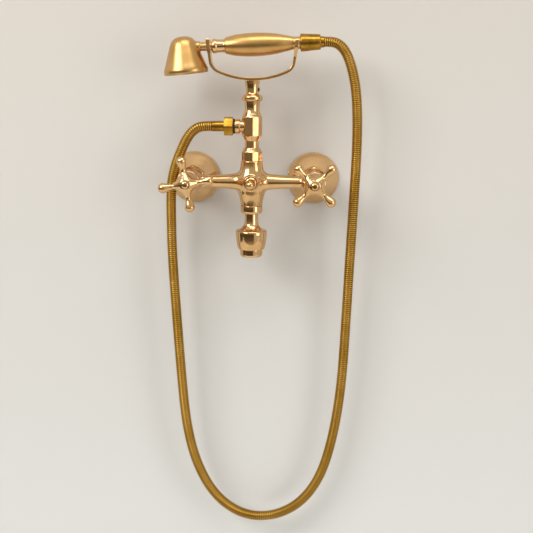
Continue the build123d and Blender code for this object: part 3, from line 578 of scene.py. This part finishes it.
# ---- mixer body
def body_field(p):
    """Column, ball, bar, barrels and boss, each melting into the next."""
    bar_origin = (0, -REACH, BAR_Z)
    column = turned_field(
        p, COLUMN,
        [
            (13.0, -27.0), (14.0, -20.0), (15.6, -13.5), (16.5, -6.0), (16.5, 8.0), (14.5, 15.5),
            (13.4, 21.0), (13.2, 26.6),
        ],
    )
    ball = np.linalg.norm(p - np.array(bar_origin), axis=-1) - SPHERE_R
    whole = smooth_min(column, ball, 3.0)
    for side in SIDES.values():
        bar = axes(bar_origin, (side, 0, 0), (0, 0, 1))
        arm = turned_field(
            p, bar,
            [
                (12.0, 6.0), (10.6, 15.0), (9.3, 24.0), (8.1, 38.0), (7.4, 51.0), (8.2, 59.0), (11.0, 66.0),
                (12.5, 69.0),
            ],
        )
        whole = smooth_min(whole, arm, 5.0)
        barrel = rod_field(p, valve_axes(side), 14.0, 38.0, 74.0, 1.6)
        whole = smooth_min(whole, barrel, 3.0)
        whole = smooth_min(whole, rod_field(p, valve_axes(side), 10.2, 31.0, 39.0), 0.3)
    boss = rod_field(p, DIVERTER, 8.8, REACH, BOSS_END, 1.0)
    return smooth_min(whole, boss, 2.2)


body_piece = wrapped(
    "mixer_body_visual", body_field, (-91, -76, -30), (91, -29, 29), 0.8, buffed_brass, "root",
)
stands_for(body_piece, "polished_brass", "mixer_body")


# ---- cross handles
def handle_field(side, turn):
    """A bell skirt and a pillow hub with four teardrop arms melting into it."""
    valve = valve_axes(side)
    origin, u, v, w = valve
    hub_outline = [
        (12.9, 75.2), (12.6, 78.2), (11.7, 81.6), (10.7, 87.5), (10.5, 92.5), (9.9, 96.5), (8.0, 100.2),
        (4.6, 102.7), (0.3, 103.6),
    ]
    arm_outline = [
        (5.6, 0.0), (5.2, 6.0), (4.3, 11.0), (3.4, 14.0), (3.2, 16.5), (3.9, 19.8), (5.1, 23.2),
        (ARM_BALL_R, ARM_REACH),
    ]
    table = spline([(x, r) for r, x in arm_outline], 12)
    slope = np.gradient(table[:, 1], table[:, 0])

    def field(p):
        hub = turned_field(p, valve, hub_outline, 0.5)
        arms = None
        for quarter in range(4):
            a = math.radians(turn + 90 * quarter)
            arm = axes(origin + HANDLE_PLANE * w, math.cos(a) * u + math.sin(a) * v, w)
            rho, x = local(p, arm)
            r = np.interp(x, table[:, 0], table[:, 1])
            k = np.interp(x, table[:, 0], slope)
            neck = np.maximum((rho - r) / np.sqrt(1 + k * k), -x)
            ball = np.hypot(rho, x - ARM_REACH) - ARM_BALL_R
            one = np.where(x > ARM_REACH, ball, neck)
            arms = one if arms is None else smooth_min(arms, one, 4.0)
        whole = smooth_min(hub, arms, 6.0)
        hollow = np.minimum(rod_field(p, valve, 11.6, 70.0, 76.4), rod_field(p, valve, 10.1, 70.0, 81.0))
        hollow = np.minimum(hollow, rod_field(p, valve, 4.05, 70.0, 91.0))
        grub_turn = math.radians(turn - 45 if turn < 22.5 else 270)
        grub = axes(origin + HANDLE_GRUB_PLANE * w, math.cos(grub_turn) * u + math.sin(grub_turn) * v, w)
        hollow = np.minimum(hollow, rod_field(p, grub, 2.5, 4.0, 16.0, 0.2))
        return smooth_max(whole, -hollow, 0.3)
    return field


for word, side, turn in (("left", -1, 10.0), ("right", 1, 45.0)):
    x = side * INLET_X
    piece = wrapped(
        f"{word}_handle_visual", handle_field(side, turn), (x - 35, -105, BAR_Z - 35),
        (x + 35, -73.5, BAR_Z + 35), 0.62, buffed_brass, f"{word}_valve", rounds=2,
    )
    stands_for(piece, "polished_brass", f"{word}_handle")


# ---- diverter
turned_piece(
    "diverter_gland", DIVERTER, [(2.56, BOSS_END), (7.0, BOSS_END), (7.0, 76.3), (5.4, 77.5), (2.56, 77.5)],
    buffed_brass, "polished_brass", round_mm=0.5,
)
ball_turn = np.linspace(math.radians(-48), math.pi / 2, 24)
ball_line = np.stack([KNOB_R * np.cos(ball_turn), KNOB_CENTRE + KNOB_R * np.sin(ball_turn)], -1)
ball_line[-1, 0] = 0.0
knob_line = np.concatenate(
    [
        [(0.0, 87.5)], rounded([(0.0, 87.5), (3.8, 87.5), (3.8, 88.8), (3.1, 90.2), (3.1, 92.9)], 0.4)[1:],
        ball_line,
    ]
)
knob = add_piece("diverter_knob_visual", *turned(DIVERTER, knob_line, 72), buffed_brass, "diverter")
stands_for(knob, "polished_brass", "diverter_knob")

# ---- column: nut, octagonal outlet block, waist, bead and post
OCTAGON_TURN = math.pi / 2
nut = [
    (8.5, 26.6), (11.8, 26.6), (12.6, 27.4), (12.6, 36.8), (11.4, 38.2), (10.2, 40.8), (9.5, 42.4),
    (8.5, 42.4),
]
turned_piece(
    "column_nut", COLUMN, refine(rounded(nut, 0.5, closed=True)), buffed_brass, "polished_brass",
    segments=144, limit=flats(COLUMN_NUT_CORNERS, 8, OCTAGON_TURN), smooth=True,
)
block = [
    (5.5, 34.5), (8.4, 34.5), (8.4, 50.4), (9.2, 52.2), (11.6, 56.2), (12.4, 57.5), (12.4, 78.0),
    (11.4, 79.4), (10.0, 82.9), (5.5, 82.9),
]
post = np.concatenate([
    [(4.5, 81.8), (10.4, 81.8)],
    spline([(10.4, 81.9), (9.0, 85.6), (8.7, 90.0), (9.7, 97.2)], 6)[1:],
    rounded(
        [
            (9.7, 97.2), (11.1, 97.3), (12.4, 99.2), (12.4, 102.4), (10.7, 104.6), (8.8, 105.2),
            (7.7, 106.6), (7.8, 112.8), (8.4, 117.1), (9.2, 121.1), (9.2, 121.1),
        ],
        0.7,
    )[1:-1],
    [(4.5, 121.1)],
])
pillar = join([
    turned(COLUMN, refine(rounded(block, 0.5, closed=True)), 144, flats(BLOCK_CORNERS, 8, OCTAGON_TURN)),
    turned(COLUMN, post, 96),
])
stands_for(add_piece("column_pillar_visual", *pillar, buffed_brass), "polished_brass", "column_pillar")

# ---- outlet and its hose nut
nipple = [
    (4.0, 5.0), (7.3, 5.0), (7.3, 14.2), (8.6, 14.4), (9.1, 15.1), (9.1, 19.7), (8.6, 20.4), (8.28, 20.4),
    (8.28, 28.6), (4.0, 28.6),
]
turned_piece("outlet_nipple", OUTLET, nipple, buffed_brass, "aged_brass", round_mm=0.3)
nut = [
    (8.35, 22.6), (11.0, 22.6), (12.2, 23.4), (12.2, 32.2), (11.0, 33.0), (6.25, 33.0), (6.25, 31.8),
    (8.35, 31.8),
]
hex_nut = turned_piece(
    "hose_hex_nut", OUTLET, refine(rounded(nut, 0.3, closed=True)), aged_brass, "aged_brass",
    segments=144, limit=hexagon(21.0, 27.0), smooth=True,
)
outlet_ferrule = turned_piece(
    "outlet_hose_ferrule", OUTLET, [(3.6, 31.7), (6.2, 31.7), (6.2, 47.9), (3.6, 47.9)], aged_brass,
    "aged_brass", round_mm=0.4,
)

# ---- spout
ring_line = [
    (8.35, -37.2), (10.7, -37.2), (12.5, -36.0), (13.2, -34.0), (13.2, -27.5), (12.7, -27.05),
    (8.35, -27.05),
]
turned_piece("spout_ring", COLUMN, ring_line, turned_brass, "satin_brass", round_mm=0.6)
neck_line = np.concatenate(
    [
        [(5.6, -57.0)],
        spline([(15.2, -57.0), (13.2, -55.7), (10.6, -53.2), (8.8, -49.9), (8.3, -46.0), (8.3, -37.3)], 8),
        [(8.3, -33.5), (5.6, -33.5)],
    ]
)
turned_piece("spout_neck", COLUMN, neck_line, turned_brass, "polished_brass", smooth=True)
nozzle_line = np.concatenate([
    rounded([(12.1, -80.4), (15.6, -80.4), (16.3, -79.6), (16.5, -78.6)], 0.4)[:-1],
    spline([(16.5, -78.6), (17.25, -75.5), (18.15, -70.5), (18.7, -65.0), (18.95, -60.6), (18.85, -58.4)], 6),
    rounded([(18.85, -58.4), (17.9, -57.05), (12.1, -57.0)], 0.8)[1:],
])
turned_piece("spout_nozzle", COLUMN, nozzle_line, turned_brass, "polished_brass", smooth=True, segments=128)
lip = [
    (9.2, -89.6), (12.2, -89.6), (13.45, -87.4), (13.7, -80.9), (13.4, -80.45), (10.4, -80.45),
    (10.4, -88.2), (9.2, -88.2),
]
turned_piece("aerator_housing", COLUMN, lip, turned_brass, "satin_brass", round_mm=0.5)

# ---- cradle: a strip bent to a bow, its ends split into forks
STRIP = 1.8
BOW_R, HIP_R = 100.0, 15.0
BREAK, RISE = math.radians(24.0), math.radians(83.0)
BOW_Z = 121.3 + STRIP + BOW_R
hip_x = (BOW_R - HIP_R) * math.sin(BREAK)
hip_z = BOW_Z - (BOW_R - HIP_R) * math.cos(BREAK)
end_x = hip_x + HIP_R * math.sin(RISE)
end_z = hip_z - HIP_R * math.cos(RISE)
TINE_TOP = 169.0


def tine_x(z):
    """Distance from the column to the middle of an upright end, at a height."""
    return end_x + (z - end_z) / math.tan(RISE)


def tine_half(z):
    """Half the thickness of an upright end: the strip's, then swelling to the tip."""
    return np.interp(z, [152.0, 160.0], [STRIP, 2.4])


def half_width(z, seat, outer):
    """Half the width of the strip, widening under the fork."""
    return np.interp(z, [seat - 17.0, seat - 5.0], [6.0, outer])


forks = {
    1: (7.55, HANDSET_Z + tine_x(HANDSET_Z) * math.tan(HANDSET_TILT)),
    -1: (5.25, HANDSET_Z - tine_x(HANDSET_Z) * math.tan(HANDSET_TILT)),
}
cradle_parts = []
path = []
width = []
for side in (-1, 1):
    slot, seat = forks[side]
    a = np.linspace(0, BREAK, 24)
    b = np.linspace(BREAK, RISE, 20)[1:]
    top = seat - slot - 0.5
    z = np.linspace(end_z, top, 14)[1:]
    x = np.concatenate([BOW_R * np.sin(a), hip_x + HIP_R * np.sin(b), tine_x(z)])
    h = np.concatenate([BOW_Z - BOW_R * np.cos(a), hip_z - HIP_R * np.cos(b), z])
    half = np.stack([side * x, np.full_like(x, -REACH), h], -1)
    wide = half_width(h, seat, slot + TINE_WALL)
    path.append(half[::-1] if side < 0 else half[1:])
    width.append(wide[::-1] if side < 0 else wide[1:])
path = np.concatenate(path)
width = np.concatenate(width)
cradle_parts.append(swept(path, (0, 1, 0), tine_half(path[:, 2]), width, 0.7))


def fork(side):
    """The U left by the slot: inner and outer outline joined by a rounded bar."""
    slot, seat = forks[side]
    outer = slot + TINE_WALL
    base = seat - slot - 3.0
    down = np.linspace(TINE_TOP, seat, 12)
    arc = np.linspace(0, np.pi, 25)[1:-1]
    inner_y = np.concatenate([np.full(12, slot), slot * np.cos(arc), np.full(12, -slot)])
    inner_z = np.concatenate([down, seat - slot * np.sin(arc), down[::-1]])
    low = half_width(base, seat, outer)
    leg = np.linspace(TINE_TOP, base, 18)
    run = np.linspace(1, -1, len(inner_y) - 36 + 2)[1:-1]
    outer_y = np.concatenate([half_width(leg, seat, outer), low * run, -half_width(leg[::-1], seat, outer)])
    outer_z = np.concatenate([leg, np.full(len(run), base), leg[::-1]])
    mid = np.stack([(inner_y + outer_y) / 2, (inner_z + outer_z) / 2], -1)
    reach = np.stack([(outer_y - inner_y) / 2, (outer_z - inner_z) / 2], -1)
    round_off = np.ones(len(mid))
    round_off[[0, -1]] = 0.72
    reach = reach * round_off[:, None]
    sx, sy, quarter = round_corners()
    size = np.linalg.norm(reach, axis=1)[:, None]
    u = (sx * (size - 0.5) + 0.5 * np.cos(quarter)) / size
    thick = (tine_half(mid[:, 1]) * round_off)[:, None]
    v = sy * (thick - 0.5) + 0.5 * np.sin(quarter)
    y = mid[:, :1] + reach[:, :1] * u
    z = mid[:, 1:] + reach[:, 1:] * u
    x = tine_x(z) + v
    verts = np.stack([side * x, -REACH + y, z], -1)
    cols = verts.shape[1]
    faces = grid_faces(len(mid), cols)
    last = (len(mid) - 1) * cols
    faces += [list(range(cols))[::-1], [last + k for k in range(cols)]]
    return verts.reshape(-1, 3), faces


cradle_parts += [fork(1), fork(-1)]
cradle = recalculated(add_piece("cradle_visual", *join(cradle_parts), strip_brass))
cradle.data.set_sharp_from_angle(angle=math.radians(32))
stands_for(cradle, "satin_brass", "cradle")

# ---- hand shower
bell = np.concatenate([
    spline([(0.0, 41.1), (7.6, 39.9), (12.6, 36.0), (17.2, 29.8), (19.7, 17.9), (21.4, 9.0), (22.0, 4.5)], 5),
    rounded([(22.0, 4.5), (23.65, 4.4), (23.65, 0.5), (24.4, 0.02), (25.4, 0.3), (26.1, 1.4)], 0.4)[1:],
    spline(
        [
            (26.1, 1.5), (26.25, 3.4), (25.6, 6.4), (24.2, 10.2), (21.5, 17.9), (19.5, 23.8), (17.4, 29.8),
            (15.0, 36.0), (11.6, 40.4), (6.2, 42.9), (0.0, 43.5),
        ],
        8,
    )[1:],
])
bell[0, 0] = bell[-1, 0] = 0.0
socket = turned(
    HANDSET,
    rounded([(3.6, -69.4), (6.5, -69.4), (6.4, -62.2), (5.6, -61.3), (3.6, -61.3)], 0.5, closed=True), 72,
)
head = add_piece("head_shell_visual", *join([turned(HEAD, bell, 144), socket]), bell_brass, "handset")
stands_for(head, "satin_brass", "head_shell")
turned_piece(
    "handset_neck", HANDSET, [(3.2, -65.9), (5.0, -65.9), (5.0, -39.8), (3.2, -39.8)], brushed_brass,
    "satin_brass", "handset", 72,
)
collar = [
    (5.05, -47.8), (6.7, -47.8), (8.2, -46.9), (8.6, -44.8), (8.2, -42.7), (7.6, -41.6), (7.6, -34.0),
    (8.2, -32.3), (5.05, -32.3),
]
turned_piece("handset_ferrule", HANDSET, collar, turned_brass, "satin_brass", "handset", round_mm=0.7)
grip = np.concatenate([
    rounded([(6.4, -32.2), (8.9, -32.2), (9.4, -31.4), (9.6, -30.6)], 0.4)[:-1],
    spline(
        [
            (9.6, -30.6), (11.4, -23.7), (13.0, -12.2), (13.6, -0.7), (13.4, 10.8), (12.4, 22.3),
            (10.6, 33.8), (8.4, 43.4), (7.7, 46.9),
        ],
        8,
    ),
    [(6.4, 46.9)],
])
turned_piece("handset_grip", HANDSET, grip, brushed_brass, "satin_brass", "handset", 128, smooth=True)
tail = [
    (3.2, 40.4), (6.35, 40.4), (6.35, 46.9), (7.3, 46.9), (7.3, 55.6), (8.28, 55.9), (8.28, 66.0),
    (3.2, 66.0),
]
turned_piece("handset_tail", HANDSET, tail, brushed_brass, "aged_brass", "handset", round_mm=0.25)
cone = [
    (8.35, 56.2), (9.9, 56.2), (10.4, 57.0), (10.3, 59.4), (8.9, 78.9), (8.2, 79.8), (6.65, 79.8),
    (6.65, 69.1), (8.35, 69.1),
]
cone_nut = turned_piece("hose_cone_nut", HANDSET, cone, aged_brass, "aged_brass", "handset", round_mm=0.35)
hand_ferrule = turned_piece(
    "handset_hose_ferrule", HANDSET, [(3.6, 67.5), (6.6, 67.5), (6.6, 83.9), (3.6, 83.9)], aged_brass,
    "aged_brass", "handset", round_mm=0.5,
)

# ---- hose
HOSE_R = 6.25
PITCH = 2.5
hose_route = [
    (-68.9, -55.0, 63.6), (-77.3, -54.0, 54.0), (-84.7, -51.0, 39.3), (-93.5, -46.0, 18.2),
    (-99.1, -41.5, -6.4), (-99.8, -38.5, -42.0), (-99.1, -36.5, -93.0), (-94.8, -35.0, -164.0),
    (-89.5, -33.0, -244.0), (-83.4, -31.0, -317.0), (-70.4, -29.0, -371.5), (-47.0, -28.0, -415.0),
    (-12.0, -27.0, -441.5), (28.4, -26.5, -444.0), (65.4, -26.0, -425.0), (91.4, -26.5, -386.5),
    (106.4, -27.5, -330.0), (115.3, -29.0, -261.5), (118.6, -31.5, -183.0), (121.2, -34.5, -105.0),
    (123.8, -38.5, -34.5), (125.8, -43.0, 23.5), (125.9, -47.5, 67.0), (124.2, -50.5, 98.7),
    (121.1, -53.0, 121.0), (116.5, -54.5, 138.6), (111.2, -55.0, 152.4), (104.4, -55.0, 162.0),
]


def on_axis(frame_axes, distance):
    """The point at a distance along an axis."""
    return tuple(frame_axes[0] + frame_axes[3] * distance)


route = [on_axis(OUTLET, 48.0), on_axis(OUTLET, 59.5)] + hose_route + [
    on_axis(HANDSET, 95.0), on_axis(HANDSET, 84.0),
]
curve = bpy.data.curves.new("hose_route", "CURVE")
curve.dimensions = "3D"
curve.resolution_u = 24
line = curve.splines.new("NURBS")
line.points.add(len(route) - 1)
for point, co in zip(line.points, route):
    point.co = (*[c * MM for c in co], 1.0)
line.order_u = 3
line.use_endpoint_u = True
carrier = bpy.data.objects.new("hose_route", curve)
bpy.context.scene.collection.objects.link(carrier)
bpy.context.view_layer.update()
line_mesh = bpy.data.meshes.new_from_object(carrier.evaluated_get(bpy.context.evaluated_depsgraph_get()))
centre = np.zeros(len(line_mesh.vertices) * 3, np.float32)
line_mesh.vertices.foreach_get("co", centre)
centre = centre.reshape(-1, 3).astype(float) / MM
bpy.data.objects.remove(carrier)


def hose_skin(points):
    """Rings across the line: a narrow groove once each PITCH, a rounded crest between."""
    s = np.concatenate([[0], np.cumsum(np.linalg.norm(np.diff(points, axis=0), axis=1))])
    turns = int(round(s[-1] / PITCH))
    phase = np.array([0.0, 0.14, 0.34, 0.58, 0.82, 0.95])
    depth = np.array([1.0, 0.6, 0.1, 0.0, 0.26, 0.8])
    at = (np.arange(turns)[:, None] + phase[None, :]).ravel()
    at = np.append(at, turns) / turns * s[-1]
    deep = np.append(np.tile(depth, turns), 1.0)
    p = np.stack([np.interp(at, s, points[:, k]) for k in range(3)], -1)
    run = np.gradient(p, axis=0)
    run /= np.linalg.norm(run, axis=1, keepdims=True)
    width = np.cross(run, np.array([0.0, 1.0, 0.0]))
    width /= np.linalg.norm(width, axis=1, keepdims=True)
    front = np.cross(run, width)
    a = np.linspace(0, 2 * np.pi, 26, endpoint=False)
    radius = (HOSE_R - 0.95 * deep)[:, None, None]
    rings = p[:, None] + radius * (
        np.cos(a)[None, :, None] * width[:, None] + np.sin(a)[None, :, None] * front[:, None]
    )
    faces = grid_faces(len(p), 26)
    last = (len(p) - 1) * 26
    faces += [list(range(26))[::-1], [last + k for k in range(26)]]
    return rings.reshape(-1, 3), faces, np.repeat(deep, 26)


hose_verts, hose_faces, groove = hose_skin(centre)
hose = add_piece("hose_tube_visual", hose_verts, hose_faces, hose_brass, None, sharp=75)
# the groove depth also goes to the material, where it paints shade into the grooves
painted_groove_shade = hose.data.attributes.new("groove", "FLOAT", "POINT")
painted_groove_shade.data.foreach_set("value", groove.astype(np.float32))
stands_for(hose, "hose_brass", "hose_tube")
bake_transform(hose)

# ---- finishes of the CAD pieces that stay
for names, material in (
    ("inlet_union valve_bonnet valve_spindle", machined_brass),
    ("handle_grub", black_steel),
    ("union_washer seat_seal", rubber),
    ("fixed_disc moving_disc", ceramic),
):
    for name in names.split():
        for word in SIDES:
            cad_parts[f"{word}_{name}"].data.materials.clear()
            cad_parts[f"{word}_{name}"].data.materials.append(material)
for names, material in (
    ("diverter_stem cradle_stem", machined_brass),
    ("cradle_grub_screws", black_steel),
    ("diverter_piston column_seal outlet_gasket hex_nut_washer", rubber),
    ("spout_seal aerator_washer rose_seal cone_nut_washer", rubber),
    ("aerator_insert grip_tube", plastic),
    ("spray_rose", bell_brass),
):
    for name in names.split():
        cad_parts[name].data.materials.clear()
        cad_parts[name].data.materials.append(material)


# ---- room: wall, floor, light and camera
def wall_paint():
    """Smooth matt paint with painted shade, warmer and darker towards the top, seen from the room side only.
    """
    material, tree = new_material("matt_wall_paint_painted_shade")
    place_of = add_node(tree, "ShaderNodeTexCoord")
    parts = add_node(tree, "ShaderNodeSeparateXYZ", {"Vector": place_of.outputs["Object"]})
    height = add_node(
        tree, "ShaderNodeMapRange", {"Value": parts.outputs["Z"], "From Min": -0.45, "From Max": 0.25},
    )
    # painted shade: the colour darkens and warms from the floor up to the top
    shade = add_node(tree, "ShaderNodeValToRGB", {"Fac": height.outputs[0]})
    shade.color_ramp.elements[0].color = linear("#DFE1E0")
    shade.color_ramp.elements[1].color = linear("#D0CBC4")
    paint = add_node(tree, "ShaderNodeBsdfPrincipled", {"Base Color": shade.outputs[0], "Roughness": 0.75})
    clear = add_node(tree, "ShaderNodeBsdfTransparent")
    seen = add_node(tree, "ShaderNodeNewGeometry")
    mix = add_node(
        tree, "ShaderNodeMixShader",
        {0: seen.outputs["Backfacing"], 1: paint.outputs[0], 2: clear.outputs[0]},
    )
    add_node(tree, "ShaderNodeOutputMaterial", {"Surface": mix.outputs[0]})
    return material


def sheet_piece(name, corners, material):
    """A flat part of the room."""
    mesh = bpy.data.meshes.new(name)
    mesh.from_pydata(corners, [], [(0, 1, 2, 3)])
    mesh.materials.append(material)
    piece = bpy.data.objects.new(name, mesh)
    bpy.context.scene.collection.objects.link(piece)
    return piece


FLOOR_Z = -0.80
paint = wall_paint()
sheet_piece("wall", [(-3, 0.0008, FLOOR_Z), (3, 0.0008, FLOOR_Z), (3, 0.0008, 2.4), (-3, 0.0008, 2.4)], paint)
sheet_piece(
    "floor", [(-2, -1.3, FLOOR_Z), (2, -1.3, FLOOR_Z), (2, 0.5, FLOOR_Z), (-2, 0.5, FLOOR_Z)],
    dull_solid("pale_floor", "#E2DED8", "#DCD8D1", 0.7, 40, 5),
)


def softbox(name, at, towards, size, watts, color):
    """A rectangular area light at a point, facing another."""
    lamp = bpy.data.lights.new(name, "AREA")
    lamp.shape = "RECTANGLE"
    lamp.size, lamp.size_y = size
    lamp.energy = watts
    lamp.color = color
    piece = bpy.data.objects.new(name, lamp)
    piece.location = at
    piece.rotation_euler = (Vector(towards) - Vector(at)).to_track_quat("-Z", "Y").to_euler()
    bpy.context.scene.collection.objects.link(piece)


# a window up on the left, the ceiling, and a weaker fill from the right; sizes in metres
softbox("window_left", (-1.5, -1.5, 1.3), (0, -0.05, -0.05), (1.3, 1.1), 31, (1.0, 0.985, 0.97))
softbox("ceiling", (0.3, -0.9, 1.7), (0, -0.05, 0.0), (1.6, 0.8), 13, (1.0, 0.99, 0.98))
softbox("fill_right", (1.7, -1.4, 0.2), (0, -0.05, -0.1), (0.8, 1.4), 9, (1.0, 0.985, 0.97))

world = bpy.data.worlds.new("room")
bpy.context.scene.world = world
world.use_nodes = True
room = world.node_tree
room.nodes.clear()
way = add_node(room, "ShaderNodeTexCoord")
parts = add_node(room, "ShaderNodeSeparateXYZ", {"Vector": way.outputs["Generated"]})
band = add_node(
    room, "ShaderNodeValToRGB",
    {
        "Fac": add_node(
            room, "ShaderNodeMapRange", {"Value": parts.outputs["Z"], "From Min": -1.0, "From Max": 1.0},
        ).outputs[0]
    },
)
stops = [
    (0.0, "#DAD3C8"), (0.28, "#BFB4A4"), (0.34, "#5C5443"), (0.43, "#665D4C"), (0.49, "#A99C89"),
    (0.56, "#B9AE9F"), (0.64, "#E3E0DB"), (1.0, "#F2F1EF"),
]
ramp = band.color_ramp
for position, code in stops[1:-1]:
    ramp.elements.new(position).color = linear(code)
ramp.elements[0].color = linear(stops[0][1])
ramp.elements[-1].color = linear(stops[-1][1])
# the pale side of the room begins abruptly, right of the middle
pale_side = add_node(
    room, "ShaderNodeMapRange", {"Value": parts.outputs["X"], "From Min": 0.34, "From Max": 0.40},
)
sides_of_room = add_node(
    room, "ShaderNodeMix", {0: pale_side.outputs[0], 6: band.outputs[0], 7: linear("#E6E1D9")},
    data_type="RGBA",
)
backdrop = add_node(room, "ShaderNodeBackground", {"Color": sides_of_room.outputs[2], "Strength": 0.75})
add_node(room, "ShaderNodeOutputWorld", {"Surface": backdrop.outputs[0]})

camera = bpy.data.cameras.new("camera")
camera.sensor_width = 36.0
camera.lens = 60.48
camera.shift_y = -0.05
camera.clip_start = 0.02
eye = bpy.data.objects.new("camera", camera)
bpy.context.scene.collection.objects.link(eye)
bpy.context.scene.camera = eye
PITCH_DOWN, YAW_LEFT, ROLL = math.radians(9.72), math.radians(1.6), math.radians(0.543)
turn = Matrix.Rotation(YAW_LEFT, 4, "Z") @ Matrix.Rotation(
    math.pi / 2 - PITCH_DOWN, 4, "X",
) @ Matrix.Rotation(ROLL, 4, "Z")
eye.matrix_world = Matrix.Translation((0.0485, -1.1282, 0.1146)) @ turn
bpy.context.scene.view_settings.view_transform = "Standard"
